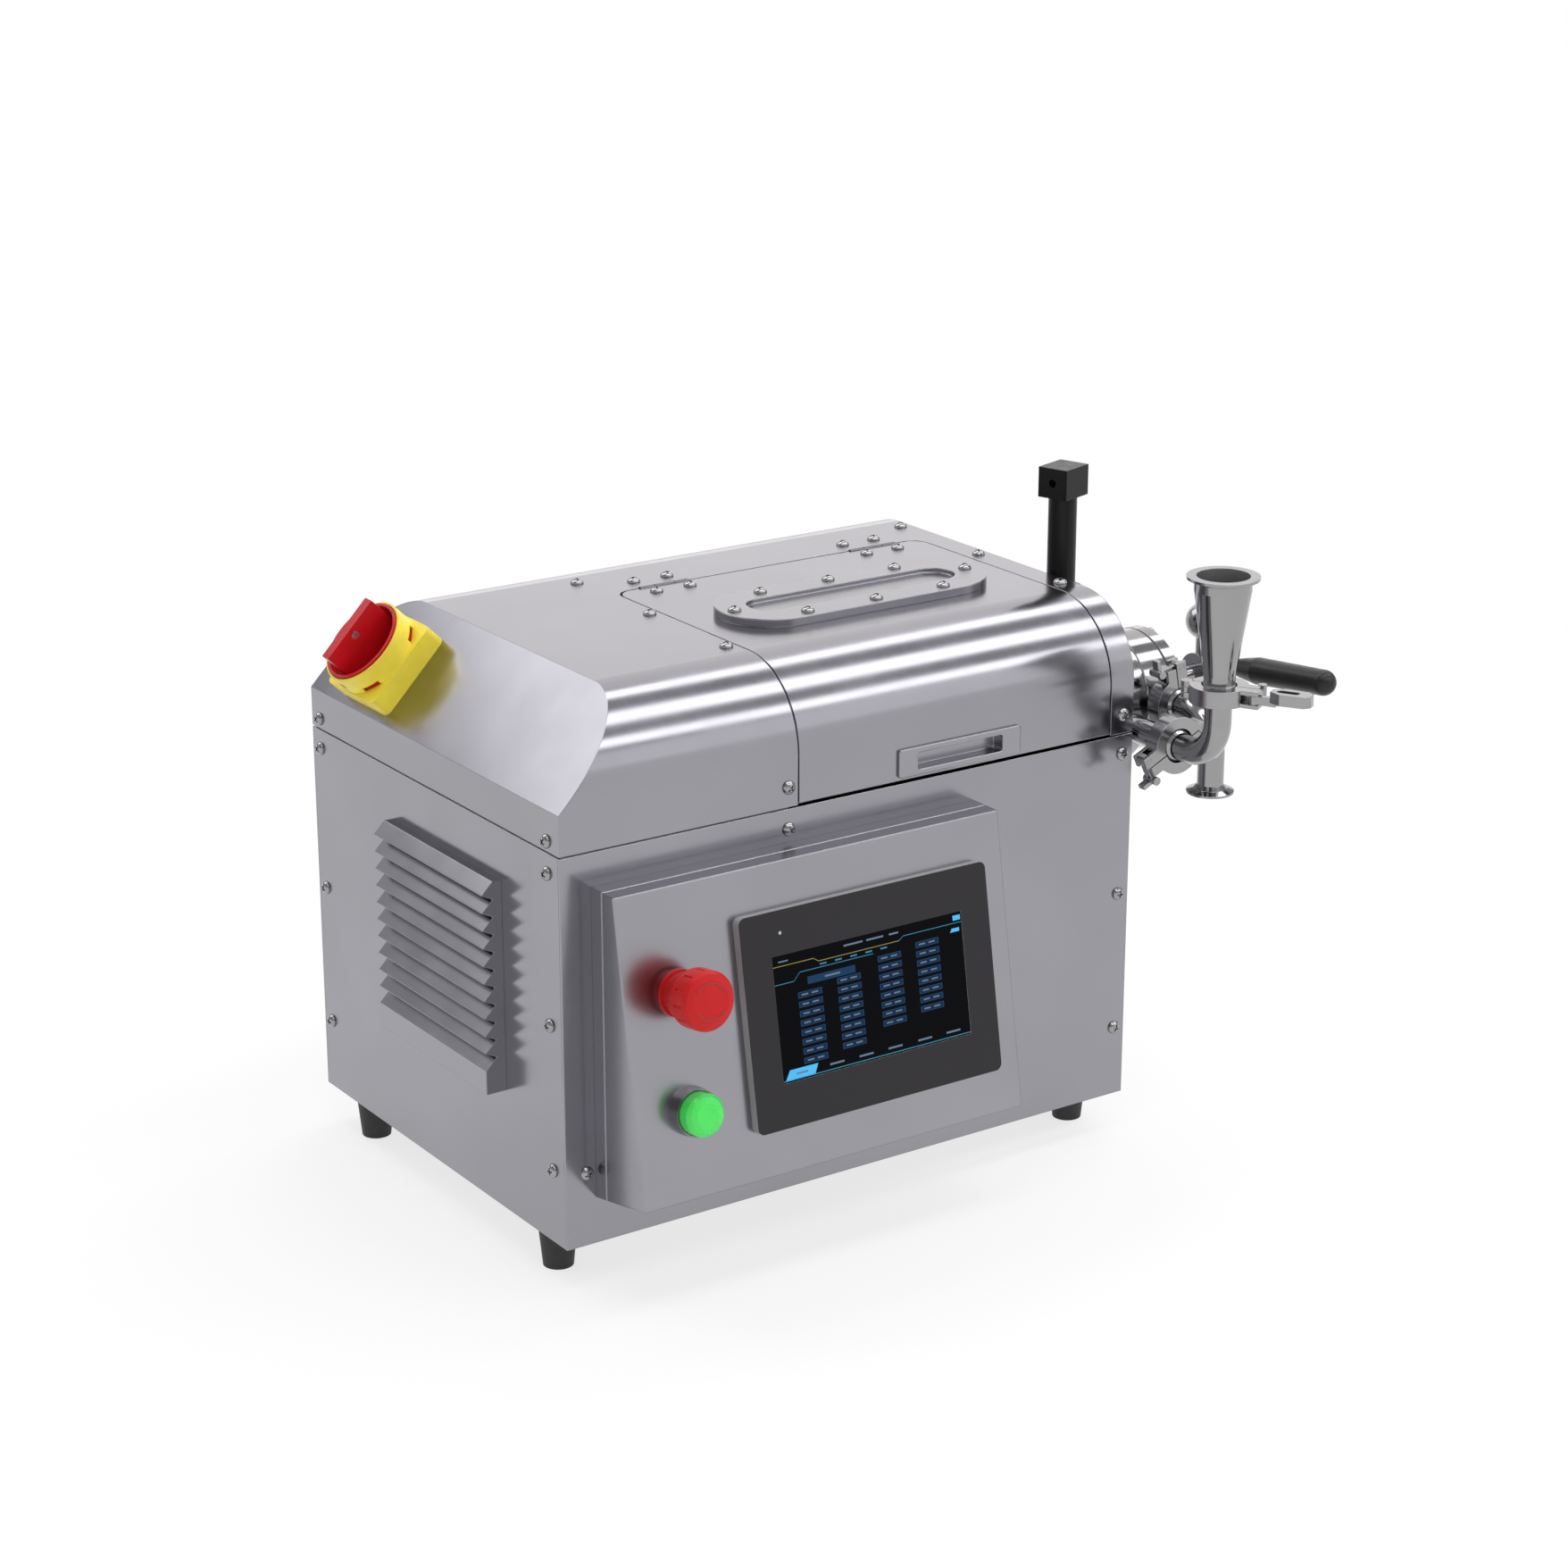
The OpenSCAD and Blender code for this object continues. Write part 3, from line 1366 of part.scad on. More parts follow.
module clamp_jaw() {
  w = clamp_w / 2;
  color(satin) difference() {
    mirror([0, 1, 0]) union() {
      difference() {
        clamp_ring();
        knuckle_room(-third - run, third + run);
      }
      knuckle(third + run, w);
      knuckle(-w, -third - run);
      cheeks(latch_x + cheek_edge, latch_y + cheek_edge);
    }
    translate([-knuckle_x, 0, -w - cut]) cylinder(h = clamp_w + 2 * cut, r = clamp_pin_r + run);
    translate([latch_x, -latch_y, -w - cut]) cylinder(h = clamp_w + 2 * cut, r = clamp_pin_r + run);
  }
}

module clamp_pin() {
  translate([-knuckle_x, 0, -clamp_w / 2]) cylinder(h = clamp_w, r = clamp_pin_r);
}

module clamp_pins() {
  color(steel) {
    at_feed_clamp() clamp_pin();
    at_outlet_clamp() clamp_pin();
    at_hopper_clamp() clamp_pin();
  }
}

// Swing latch: trunnion in the jaw, link through both lugs, cross head behind the other lug
module clamp_latch() {
  color(steel) translate([latch_x, -latch_y, 0]) union() {
    translate([0, 0, -clamp_w / 2]) cylinder(h = clamp_w, r = clamp_pin_r);
    translate([0, 0, -latch_w]) cylinder(h = 2 * latch_w, r = clamp_pin_r + latch_half);
    translate([-latch_half, 0, -latch_w]) cube([2 * latch_half, latch_link, 2 * latch_w]);
    translate([0, latch_link, -clamp_w / 2]) cylinder(h = clamp_w, r = latch_head_r);
    children();
  }
}

// Finger tab beyond the cross head
module clamp_tab() {
  tab_l = 10;
  translate([0, latch_link - latch_head_r / 2, -latch_w]) cube([tab_l, latch_head_r, 2 * latch_w]);
}

// Flat slotted handle of the hopper clamp
module clamp_handle() {
  reach = lever_reach - latch_x;
  neck = 12;
  neck_w = 5;
  shoulder_w = 6;
  blade_start = neck + 8;
  blade_w = 16;
  blade_t = 8;
  tip = 4;
  tip_w = 6;
  taper = 1;
  slot_l = 10;
  slot_w = 6;
  difference() {
    union() {
      translate([0, -neck_w / 2, -latch_w]) cube([neck + 2 * latch_half, neck_w, 2 * latch_w]);
      linear_extrude(blade_t) polygon([
        [neck, -shoulder_w / 2], [blade_start, -blade_w / 2], [reach - tip, taper - blade_w / 2],
        [reach, -tip_w / 2], [reach, tip_w / 2], [reach - tip, blade_w / 2 - taper],
        [blade_start, blade_w / 2], [neck, shoulder_w / 2]
      ]);
    }
    translate([blade_start + tip, 0, -blade_t]) linear_extrude(2 * blade_t) stadium(slot_l, slot_w);
  }
}

module feed_clamp_half() { at_feed_clamp() clamp_half(); }
module feed_clamp_jaw() { at_feed_clamp() clamp_jaw(); }
module feed_clamp_latch() { at_feed_clamp() clamp_latch() clamp_tab(); }
module outlet_clamp_half() { at_outlet_clamp() clamp_half(); }
module outlet_clamp_jaw() { at_outlet_clamp() clamp_jaw(); }
module outlet_clamp_latch() { at_outlet_clamp() clamp_latch() clamp_tab(); }
module hopper_clamp_half() { at_hopper_clamp() clamp_half(); }
module hopper_clamp_jaw() { at_hopper_clamp() clamp_jaw(); }
module hopper_clamp_lever() { at_hopper_clamp() clamp_latch() clamp_handle(); }

module rotor() {
  disc_n = 3;
  disc_t = 5;
  hole_n = 6;
  hole_r = 4;
  hole_in = 7;
  gap = 4;
  hub_wall = 5;
  x0 = x_r + seal_l + gap;
  x1 = barrel_x1 - chamber_wall;
  pitch = (x1 - x0) / disc_n;
  r = cavity_r - gap;
  color(steel) difference() {
    union() {
      bar_x(x0, x1 - x0, spindle_r + hub_wall);
      for (i = [0:disc_n - 1]) bar_x(x0 + (i + 0.5) * pitch - disc_t / 2, disc_t, r);
    }
    bar_x(x0 - cut, x1 - x0 + 2 * cut, spindle_r + still);
    for (i = [0:hole_n - 1]) translate([x0 - cut, spindle_y, spindle_z]) rotate([i * 360 / hole_n, 0, 0])
      translate([0, r - hole_in, 0]) rotate([0, 90, 0]) cylinder(h = x1 - x0 + 2 * cut, r = hole_r);
  }
}

module lock_lever() {
  half = lever_w / 2;
  color(satin) translate([lever_x, spindle_y, spindle_z]) difference() {
    union() {
      translate([-half, 0, 0]) rotate([0, 90, 0]) cylinder(h = lever_w, r = hub_r);
      translate([0, 0, arm_up]) rotate([90 - grip_angle, 0, 0]) cylinder(h = grip_start + grip_r, r = arm_r);
      cylinder(h = knob_up, r = arm_r);
      translate([0, 0, knob_up]) sphere(knob_r);
    }
    translate([-lever_w, 0, 0]) rotate([0, 90, 0]) cylinder(h = 2 * lever_w, r = stud_r + run);
  }
}

// Tapered grip with a rounded end, sleeved over the lever's forward arm
module lock_grip() {
  cone = grip_l / 5;
  body_l = grip_l - grip_r;
  lip_r = arm_r + 1;
  end_r = grip_r - 0.6;
  color(black) translate([lever_x, spindle_y, spindle_z + arm_up]) rotate([90 - grip_angle, 0, 0])
    translate([0, 0, grip_start]) difference() {
      union() {
        rotate_extrude() polygon([[0, 0], [lip_r, 0], [grip_r, cone], [end_r, body_l], [0, body_l]]);
        translate([0, 0, body_l]) sphere(end_r);
      }
      translate([0, 0, -cut]) cylinder(h = grip_r + cut + still, r = arm_r + still);
    }
}

// Domed screw head with a hexagon socket, standing on z = 0
module screw_head() {
  socket_r = 0.42 * screw_r;
  socket_z = 0.55 * screw_h;
  difference() {
    rotate_extrude() polygon([
      [0, 0], [screw_r, 0], [screw_r, 0.35 * screw_h], [0.8 * screw_r, 0.8 * screw_h],
      [0.45 * screw_r, screw_h], [0, screw_h]
    ]);
    translate([0, 0, socket_z]) cylinder(h = screw_h, r = socket_r, $fn = 6);
  }
}

bracket_wall = 5;
bracket_low = 12;
post_z0 = z_top - bracket_h - bracket_low;
post_at = [x_r + post_out, y_f + post_in, post_z0];
module support_post() {
  half = post_r + bracket_wall;
  color(black) union() {
    translate(post_at) cylinder(h = z_top + post_up - post_z0, r = post_r);
    difference() {
      translate(post_at) cylinder(h = bracket_h, r = half);
      block([x_r - half, post_at[1] - half, post_z0 - cut], [x_r, post_at[1] + half, z_top]);
    }
    block([x_r, post_at[1] - half, post_z0], [post_at[0], post_at[1] + half, post_z0 + bracket_h]);
  }
}

module post_block() {
  clamp_screw_r = 3;
  color(black) translate([post_at[0], post_at[1], z_top + post_up]) rotate([0, 0, block_turn]) difference() {
    translate([-block_l / 2, -block_w / 2, 0]) cube([block_l, block_w, block_h]);
    translate([-block_l, 0, block_h / 2]) rotate([0, 90, 0]) cylinder(h = block_l, r = clamp_screw_r);
  }
}

// Screw heads on each face of the housing, named by the direction they face
module front_screw(x, z) { translate([x, y_f, z]) rotate([90, 0, 0]) screw_head(); }
module rear_screw(x, z) { translate([x, y_b, z]) rotate([-90, 0, 0]) screw_head(); }
module left_screw(y, z) { translate([x_l, y, z]) rotate([0, -90, 0]) screw_head(); }
module right_screw(y, z) { translate([x_r, y, z]) rotate([0, 90, 0]) screw_head(); }
module top_screw(x, y) { translate([x, y, z_top]) screw_head(); }

module housing_screws() {
  cover_x = [lid_x0 - screw_lid, x_r - screw_in];
  wall_z = [for (up = screw_up) z_low + up];
  end_y = [y_f + screw_front, y_b - screw_rear];
  color(steel) {
    for (x = cover_x, back = screw_back) top_screw(x, y_f + back);
    for (x = cover_x, z = [z_seam + screw_over, z_seam - screw_under]) {
      front_screw(x, z);
      rear_screw(x, z);
    }
    for (z = wall_z) {
      front_screw(x_r - screw_in, z);
      for (x = [x_l + screw_left, x_r - screw_in]) rear_screw(x, z);
    }
    front_screw(x_l + screw_left, wall_z[0]);
    for (y = end_y) {
      left_screw(y, z_seam + screw_band);
      for (z = concat(wall_z, z_seam - screw_under)) {
        left_screw(y, z);
        right_screw(y, z);
      }
    }
    for (x = hinge_x, side = [-1, 1]) top_screw(x + side * hinge_screw, lid_y + hinge_screw_back);
  }
}

base_tray();
feet();
front_panel();
rear_panel();
left_panel();
right_panel();
louvre_vent();
upper_cover();
end_wall();
frame_plate();
seam_strip();
cover_hinge_leaves();
hinge_pins();
control_box();
panel_bezel();
panel_glass();
estop_base();
estop_head();
button_ring();
button_cap();
switch_base();
switch_handle();
support_post();
post_block();
motor();
inverter();
cable_gland();
bearing_housing();
bearings();
chamber_body();
shaft_seal();
outlet_barrel();
chamber_cover();
cover_bolts();
gaskets();
feed_elbow();
feed_hopper();
outlet_elbow();
feed_clamp_half();
feed_clamp_jaw();
feed_clamp_latch();
outlet_clamp_half();
outlet_clamp_jaw();
outlet_clamp_latch();
hopper_clamp_half();
hopper_clamp_jaw();
hopper_clamp_lever();
clamp_pins();
drive_belt();
housing_screws();
lid();
lid_hinge_leaves();
inspection_cover();
lid_pull();
spindle();
rotor();
spindle_pulley();
motor_pulley();
lock_lever();
lock_grip();
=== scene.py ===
"""Bench-top inline homogenizer: finishes, small dressing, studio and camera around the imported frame."""
import json
import math

import bmesh
import bpy
from mathutils import Matrix, Vector


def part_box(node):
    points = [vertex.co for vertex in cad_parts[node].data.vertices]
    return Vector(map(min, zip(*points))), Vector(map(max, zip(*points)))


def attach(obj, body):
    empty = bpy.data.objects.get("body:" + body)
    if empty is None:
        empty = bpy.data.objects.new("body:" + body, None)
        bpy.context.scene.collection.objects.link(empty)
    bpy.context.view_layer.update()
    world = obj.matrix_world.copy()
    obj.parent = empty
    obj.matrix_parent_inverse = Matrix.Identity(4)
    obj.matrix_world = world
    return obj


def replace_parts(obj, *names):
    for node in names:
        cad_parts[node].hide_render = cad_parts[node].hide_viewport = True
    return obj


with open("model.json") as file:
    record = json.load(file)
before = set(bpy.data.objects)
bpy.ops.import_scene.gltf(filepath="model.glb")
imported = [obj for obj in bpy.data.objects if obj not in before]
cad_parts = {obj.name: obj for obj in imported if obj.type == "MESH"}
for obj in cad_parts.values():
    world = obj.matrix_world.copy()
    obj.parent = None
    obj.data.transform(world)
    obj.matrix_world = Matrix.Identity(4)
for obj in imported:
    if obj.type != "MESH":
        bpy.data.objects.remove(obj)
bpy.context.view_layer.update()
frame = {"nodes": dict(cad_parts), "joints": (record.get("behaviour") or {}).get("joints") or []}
MM = 0.001
UP = Vector((0, 0, 1))

nodes = frame["nodes"]


# Places taken from the frame
def centre(node):
    """Middle of a node's box at rest."""
    low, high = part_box(node)
    return (Vector(low) + Vector(high)) / 2


def vertices(node):
    return [v.co.copy() for v in nodes[node].data.vertices]


def mean(points):
    return sum(points, Vector()) / len(points)


# The control face: outward, along and up
stop_joint = next(joint for joint in frame["joints"] if joint["name"] == "estop_press")
FACE_OUT = -Vector(stop_joint["axis"]).normalized()
FACE_X = Vector((1, 0, 0))
FACE_UP = FACE_OUT.cross(FACE_X).normalized()


def on_face(origin, x, up, out):
    """The point that lies this many millimetres along, up and out of the control face from origin."""
    return origin + FACE_X * (x * MM) + FACE_UP * (up * MM) + FACE_OUT * (out * MM)


# Materials
NOISE_MIDDLE = (0.3, 0.7)
EDGE_SAMPLES = 6


class Shader:
    """A material with one Principled shader and short ways to add nodes to it."""

    def __init__(self, name, color, rough, metal=0.0, shine=0.5):
        self.material = bpy.data.materials.new(name)
        self.material.use_nodes = True
        tree = self.material.node_tree
        self.nodes, self.links = tree.nodes, tree.links
        self.bsdf = self.nodes["Principled BSDF"]
        self.bsdf.inputs["Base Color"].default_value = (*color, 1)
        self.bsdf.inputs["Roughness"].default_value = rough
        self.bsdf.inputs["Metallic"].default_value = metal
        self.bsdf.inputs["Specular IOR Level"].default_value = shine
        coords = self.nodes.new("ShaderNodeTexCoord")
        self.place, self.normal = coords.outputs["Object"], coords.outputs["Normal"]

    def noise(self, size_mm, detail):
        """Noise with features of about this size."""
        texture = self.nodes.new("ShaderNodeTexNoise")
        texture.inputs["Scale"].default_value = 1 / (size_mm * MM)
        texture.inputs["Detail"].default_value = detail
        self.links.new(self.place, texture.inputs["Vector"])
        return texture.outputs["Fac"]

    def math(self, kind, operation, *values):
        """The outputs of a Math or VectorMath node that is fed with sockets and fixed values."""
        node = self.nodes.new("ShaderNode" + kind)
        node.operation = operation
        for socket, value in zip(node.inputs, values):
            if isinstance(value, bpy.types.NodeSocket):
                self.links.new(value, socket)
            else:
                socket.default_value = value
        return node.outputs

    def map_range(self, value, span, to, curve="LINEAR"):
        """The value carried from one span of numbers to another, and held at the ends."""
        node = self.nodes.new("ShaderNodeMapRange")
        node.interpolation_type = curve
        for name, number in zip(("From Min", "From Max", "To Min", "To Max"), (*span, *to)):
            node.inputs[name].default_value = number
        self.links.new(value, node.inputs["Value"])
        return node.outputs["Result"]

    def vary_rough(self, fac, low, high):
        rough = self.map_range(fac, NOISE_MIDDLE, (low, high))
        self.links.new(rough, self.bsdf.inputs["Roughness"])

    def vary_color(self, fac, dark, light):
        mix = self.nodes.new("ShaderNodeMix")
        mix.data_type = "RGBA"
        mix.inputs["A"].default_value = (*dark, 1)
        mix.inputs["B"].default_value = (*light, 1)
        self.links.new(self.map_range(fac, NOISE_MIDDLE, (0, 1)), mix.inputs["Factor"])
        self.links.new(mix.outputs["Result"], self.bsdf.inputs["Base Color"])

    def surface(self, edge_mm, bump=None, depth_mm=0.0):
        """Rounded edges, and a fine bump where one is given."""
        bevel = self.nodes.new("ShaderNodeBevel")
        bevel.samples = EDGE_SAMPLES
        bevel.inputs["Radius"].default_value = edge_mm * MM
        normal = bevel.outputs["Normal"]
        if bump is not None:
            node = self.nodes.new("ShaderNodeBump")
            node.inputs["Strength"].default_value = 1.0
            node.inputs["Distance"].default_value = depth_mm * MM
            self.links.new(bump, node.inputs["Height"])
            self.links.new(normal, node.inputs["Normal"])
            normal = node.outputs["Normal"]
        self.links.new(normal, self.bsdf.inputs["Normal"])
        return self.material


def scaled(color, share):
    return tuple(c * share for c in color)


def sheet_steel(name, color, rough, edge_mm):
    """Satin sheet whose tone and gloss drift a little from place to place."""
    s = Shader(name, color, rough, metal=1.0)
    s.vary_color(s.noise(size_mm=90, detail=2), dark=scaled(color, 0.97), light=scaled(color, 1.03))
    s.vary_rough(s.noise(size_mm=35, detail=4), low=rough - 0.02, high=rough + 0.03)
    return s.surface(edge_mm)


def turned_steel(name, color, rough, edge_mm):
    """Turned, cast or polished metal with a very fine unevenness."""
    s = Shader(name, color, rough, metal=1.0)
    s.vary_color(s.noise(size_mm=25, detail=2), dark=scaled(color, 0.95), light=scaled(color, 1.04))
    s.vary_rough(s.noise(size_mm=9, detail=4), low=rough - 0.02, high=rough + 0.04)
    return s.surface(edge_mm, s.noise(size_mm=2.5, detail=2), depth_mm=0.0008)


def moulded(name, color, rough, edge_mm, grain_mm=0.5, depth_mm=0.01, shine=0.5):
    """Plastic, rubber or paint with a fine grain."""
    s = Shader(name, color, rough, shine=shine)
    s.vary_color(s.noise(size_mm=14, detail=3), dark=scaled(color, 0.93), light=scaled(color, 1.05))
    s.vary_rough(s.noise(size_mm=6, detail=3), low=rough - 0.04, high=rough + 0.05)
    return s.surface(edge_mm, s.noise(grain_mm, detail=2), depth_mm)


POLISH_COLOR, POLISH_ROUGH, POLISH_EDGE_MM = (0.335, 0.33, 0.335), 0.12, 0.35
BRUSHED_ROUGH = 0.5

STEEL = sheet_steel("satin_sheet", (0.315, 0.311, 0.338), rough=0.19, edge_mm=0.9)
FOLDED = sheet_steel("folded_sheet", (0.325, 0.321, 0.348), rough=0.24, edge_mm=1.8)
INNER = sheet_steel("mill_sheet", (0.40, 0.40, 0.41), rough=0.38, edge_mm=0.4)
HINGE = sheet_steel("hinge_steel", (0.16, 0.16, 0.17), rough=0.45, edge_mm=0.3)
POLISH = turned_steel("polished_steel", POLISH_COLOR, POLISH_ROUGH, POLISH_EDGE_MM)
CAST = turned_steel("satin_casting", (0.345, 0.34, 0.347), rough=0.19, edge_mm=0.6)
ALUMINIUM = turned_steel("machined_aluminium", (0.62, 0.63, 0.65), rough=0.30, edge_mm=0.4)
PAINT = moulded("motor_paint", (0.16, 0.19, 0.23), rough=0.45, edge_mm=0.6, grain_mm=0.8, depth_mm=0.02)
BLACK = moulded("black_moulding", (0.022, 0.022, 0.024), rough=0.38, edge_mm=0.6)
GRIP = moulded("grip_moulding", (0.010, 0.010, 0.011), rough=0.34, edge_mm=0.6, depth_mm=0.003, shine=0.35)
POST = moulded("black_oxide", (0.006, 0.006, 0.007), rough=0.32, edge_mm=0.5, grain_mm=0.9, shine=0.2)
RUBBER = moulded("foot_rubber", (0.018, 0.018, 0.018), rough=0.60, edge_mm=0.8, grain_mm=0.9, depth_mm=0.03)
BELT = moulded("belt_rubber", (0.02, 0.02, 0.02), rough=0.65, edge_mm=0.3, grain_mm=1.2, depth_mm=0.05)
SEAL = moulded("seal_rubber", (0.03, 0.03, 0.03), rough=0.5, edge_mm=0.2)
RED = moulded("switch_red", (0.47, 0.004, 0.008), rough=0.34, edge_mm=0.5, shine=0.35)
YELLOW = moulded("switch_yellow", (0.86, 0.70, 0.055), rough=0.38, edge_mm=0.5)
ESTOP = moulded("stop_red", (0.52, 0.009, 0.010), rough=0.36, edge_mm=0.5, shine=0.22)
GREEN = moulded("button_green", (0.06, 0.72, 0.10), rough=0.28, edge_mm=0.6)
GREEN_RING = turned_steel("button_collar", (0.24, 0.24, 0.25), rough=0.22, edge_mm=0.4)


def bezel_material():
    """Dark front with pale sides, told apart by the way a face looks."""
    s = Shader("bezel_moulding", (0.03, 0.028, 0.03), rough=0.36, shine=0.3)
    facing = s.math("VectorMath", "DOT_PRODUCT", s.normal, FACE_OUT)["Value"]
    s.vary_color(facing, dark=(0.33, 0.33, 0.34), light=(0.015, 0.013, 0.015))
    s.vary_rough(s.noise(size_mm=6, detail=3), low=0.32, high=0.41)
    return s.surface(0.5, s.noise(size_mm=0.5, detail=2), depth_mm=0.006)


def hopper_material():
    """Polished outside and brushed inside, told apart by whether a face looks towards the axis."""
    s = Shader("hopper_steel", POLISH_COLOR, POLISH_ROUGH, metal=1.0)
    from_middle = s.math("VectorMath", "SUBTRACT", s.place, centre("feed_hopper"))["Vector"]
    from_axis = s.math("VectorMath", "MULTIPLY", from_middle, (1, 1, 0))["Vector"]
    outward = s.math("VectorMath", "DOT_PRODUCT", from_axis, s.normal)["Value"]
    rough = s.map_range(outward, (-2 * MM, 2 * MM), (BRUSHED_ROUGH, POLISH_ROUGH))
    s.links.new(rough, s.bsdf.inputs["Roughness"])
    return s.surface(POLISH_EDGE_MM)


def glass_material():
    """Dark glass of the switched-on touch panel."""
    s = Shader("screen_glass", (0.001, 0.0012, 0.002), rough=0.12, shine=0.05)
    s.vary_rough(s.noise(size_mm=20, detail=3), low=0.10, high=0.15)
    return s.surface(0.2)


def lit(name, color):
    """A glowing display colour under the panel's glass."""
    s = Shader(name, scaled(color, 0.4), rough=0.15, shine=0.05)
    s.vary_rough(s.noise(size_mm=12, detail=2), low=0.12, high=0.18)
    s.bsdf.inputs["Emission Color"].default_value = (*color, 1)
    s.bsdf.inputs["Emission Strength"].default_value = 1.0
    return s.material


BEZEL = bezel_material()
HOPPER = hopper_material()
GLASS = glass_material()
ESTOP_MARK = moulded("stop_mark_red", (0.34, 0.010, 0.010), rough=0.4, edge_mm=0.1)
SCREEN_EDGE = lit("screen_edge", (0.008, 0.032, 0.078))
SCREEN_NAVY = lit("screen_navy", (0.006, 0.017, 0.042))
SCREEN_CYAN = lit("screen_cyan", (0.03, 0.16, 0.24))
SCREEN_GOLD = lit("screen_gold", (0.20, 0.17, 0.06))
SCREEN_BLUE = lit("screen_blue", (0.06, 0.36, 0.66))
SCREEN_MARK = lit("screen_mark", (0.10, 0.145, 0.20))
LAMP = moulded("lamp_window", (0.45, 0.45, 0.46), rough=0.25, edge_mm=0.1)

FINISH = {
    STEEL: ["front_panel", "rear_panel", "left_panel", "right_panel", "upper_cover", "end_wall", "lid",
            "louvre_vent"],
    FOLDED: ["control_box", "inspection_cover", "lid_pull"],
    INNER: ["base_tray", "seam_strip"],
    HINGE: ["hinge_pins", "cover_hinge_leaves", "lid_hinge_leaves"],
    POLISH: ["chamber_body", "outlet_barrel", "chamber_cover", "feed_elbow", "outlet_elbow",
             "spindle", "rotor", "bearings", "clamp_pins", "cover_bolts", "housing_screws"],
    HOPPER: ["feed_hopper"],
    CAST: ["feed_clamp_half", "feed_clamp_jaw", "feed_clamp_latch", "outlet_clamp_half", "outlet_clamp_jaw",
           "outlet_clamp_latch", "hopper_clamp_half", "hopper_clamp_jaw", "hopper_clamp_lever", "lock_lever"],
    ALUMINIUM: ["frame_plate", "bearing_housing", "spindle_pulley", "motor_pulley"],
    PAINT: ["motor"],
    BLACK: ["cable_gland", "inverter"],
    GRIP: ["lock_grip"],
    POST: ["support_post", "post_block"],
    BEZEL: ["panel_bezel"],
    GLASS: ["panel_glass"],
    RUBBER: ["feet"],
    BELT: ["drive_belt"],
    SEAL: ["gaskets", "shaft_seal"],
    RED: ["switch_handle"],
    YELLOW: ["switch_base"],
    ESTOP: ["estop_head", "estop_base"],
    GREEN: ["button_cap"],
    GREEN_RING: ["button_ring"],
}
for material, names in FINISH.items():
    for name in names:
        slots = nodes[name].data.materials
        slots.clear()
        slots.append(material)


# Pieces added to the frame
def mesh_from(name, bm):
    """A mesh made from a bmesh, which is freed."""
    mesh = bpy.data.meshes.new(name)
    bm.to_mesh(mesh)
    bm.free()
    return mesh


def add_object(name, data):
    made = bpy.data.objects.new(name, data)
    bpy.context.collection.objects.link(made)
    return made


def new_piece(name, bm, material, body, smooth=False):
    """An object made from a bmesh in the frame's own coordinates, riding on a body."""
    bmesh.ops.recalc_face_normals(bm, faces=bm.faces)
    mesh = mesh_from(name, bm)
    mesh.materials.append(material)
    for face in mesh.polygons:
        face.use_smooth = smooth
    piece = add_object(name, mesh)
    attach(piece, body)
    return piece


def turn_to(axis):
    """Rotation that takes +Z to the given direction."""
    return UP.rotation_difference(axis).to_matrix().to_4x4()


# Screws: domed heads with a cross recess
SCREW_R, SCREW_H = 4.8 * MM, 3.3 * MM
SCREW_SIDES = 28
RECESS_L, RECESS_W, RECESS_DEPTH = 5.4 * MM, 1.3 * MM, 0.55 * SCREW_H
SHARP_DEGREES = 40
# Shares of the radius and the height, from the seat to the top of the dome
DOME = ((1.0, 0.0), (1.0, 0.22), (0.96, 0.36), (0.86, 0.56), (0.68, 0.78), (0.42, 0.94), (0.16, 0.995))


def screw_dome():
    bm = bmesh.new()
    angles = [2 * math.pi * i / SCREW_SIDES for i in range(SCREW_SIDES)]
    rings = []
    for r_share, h_share in DOME:
        r, h = SCREW_R * r_share, SCREW_H * h_share
        rings.append([bm.verts.new((r * math.cos(a), r * math.sin(a), h)) for a in angles])
    for low, high in zip(rings, rings[1:]):
        for i in range(SCREW_SIDES):
            j = (i + 1) % SCREW_SIDES
            bm.faces.new((low[i], low[j], high[j], high[i]))
    bm.faces.new(rings[-1])
    bm.faces.new(list(reversed(rings[0])))
    return add_object("screw_head", mesh_from("screw_head", bm))


def screw_cross():
    bm = bmesh.new()
    at_top = Matrix.Translation((0, 0, SCREW_H))
    for length, width in ((RECESS_L, RECESS_W), (RECESS_W, RECESS_L)):
        size = Matrix.Diagonal((length, width, 2 * RECESS_DEPTH, 1))
        bmesh.ops.create_cube(bm, size=1, matrix=at_top @ size)
    return add_object("screw_cross", mesh_from("screw_cross", bm))


def screw_prototype():
    """One head at the origin with its seat at z = 0, as a mesh with the recess cut."""
    head, cross = screw_dome(), screw_cross()
    cut = head.modifiers.new("recess", "BOOLEAN")
    cut.object = cross
    cut.use_self = True
    cut_head = head.evaluated_get(bpy.context.evaluated_depsgraph_get())
    mesh = bpy.data.meshes.new_from_object(cut_head)
    for helper in (head, cross):
        bpy.data.objects.remove(helper)
    return mesh


SCREW = screw_prototype()


def screw_set(name, body, places):
    """One piece with a screw head at each (seat point, outward axis, turn in degrees)."""
    bm = bmesh.new()
    for seat, axis, turn in places:
        start = len(bm.verts)
        bm.from_mesh(SCREW)
        bm.verts.ensure_lookup_table()
        spin = Matrix.Rotation(math.radians(turn), 4, "Z")
        stand = Matrix.Translation(seat) @ turn_to(axis) @ spin
        bmesh.ops.transform(bm, matrix=stand, verts=bm.verts[start:])
    piece = new_piece(name, bm, POLISH, body, smooth=True)
    piece.data.set_sharp_from_angle(angle=math.radians(SHARP_DEGREES))
    return piece


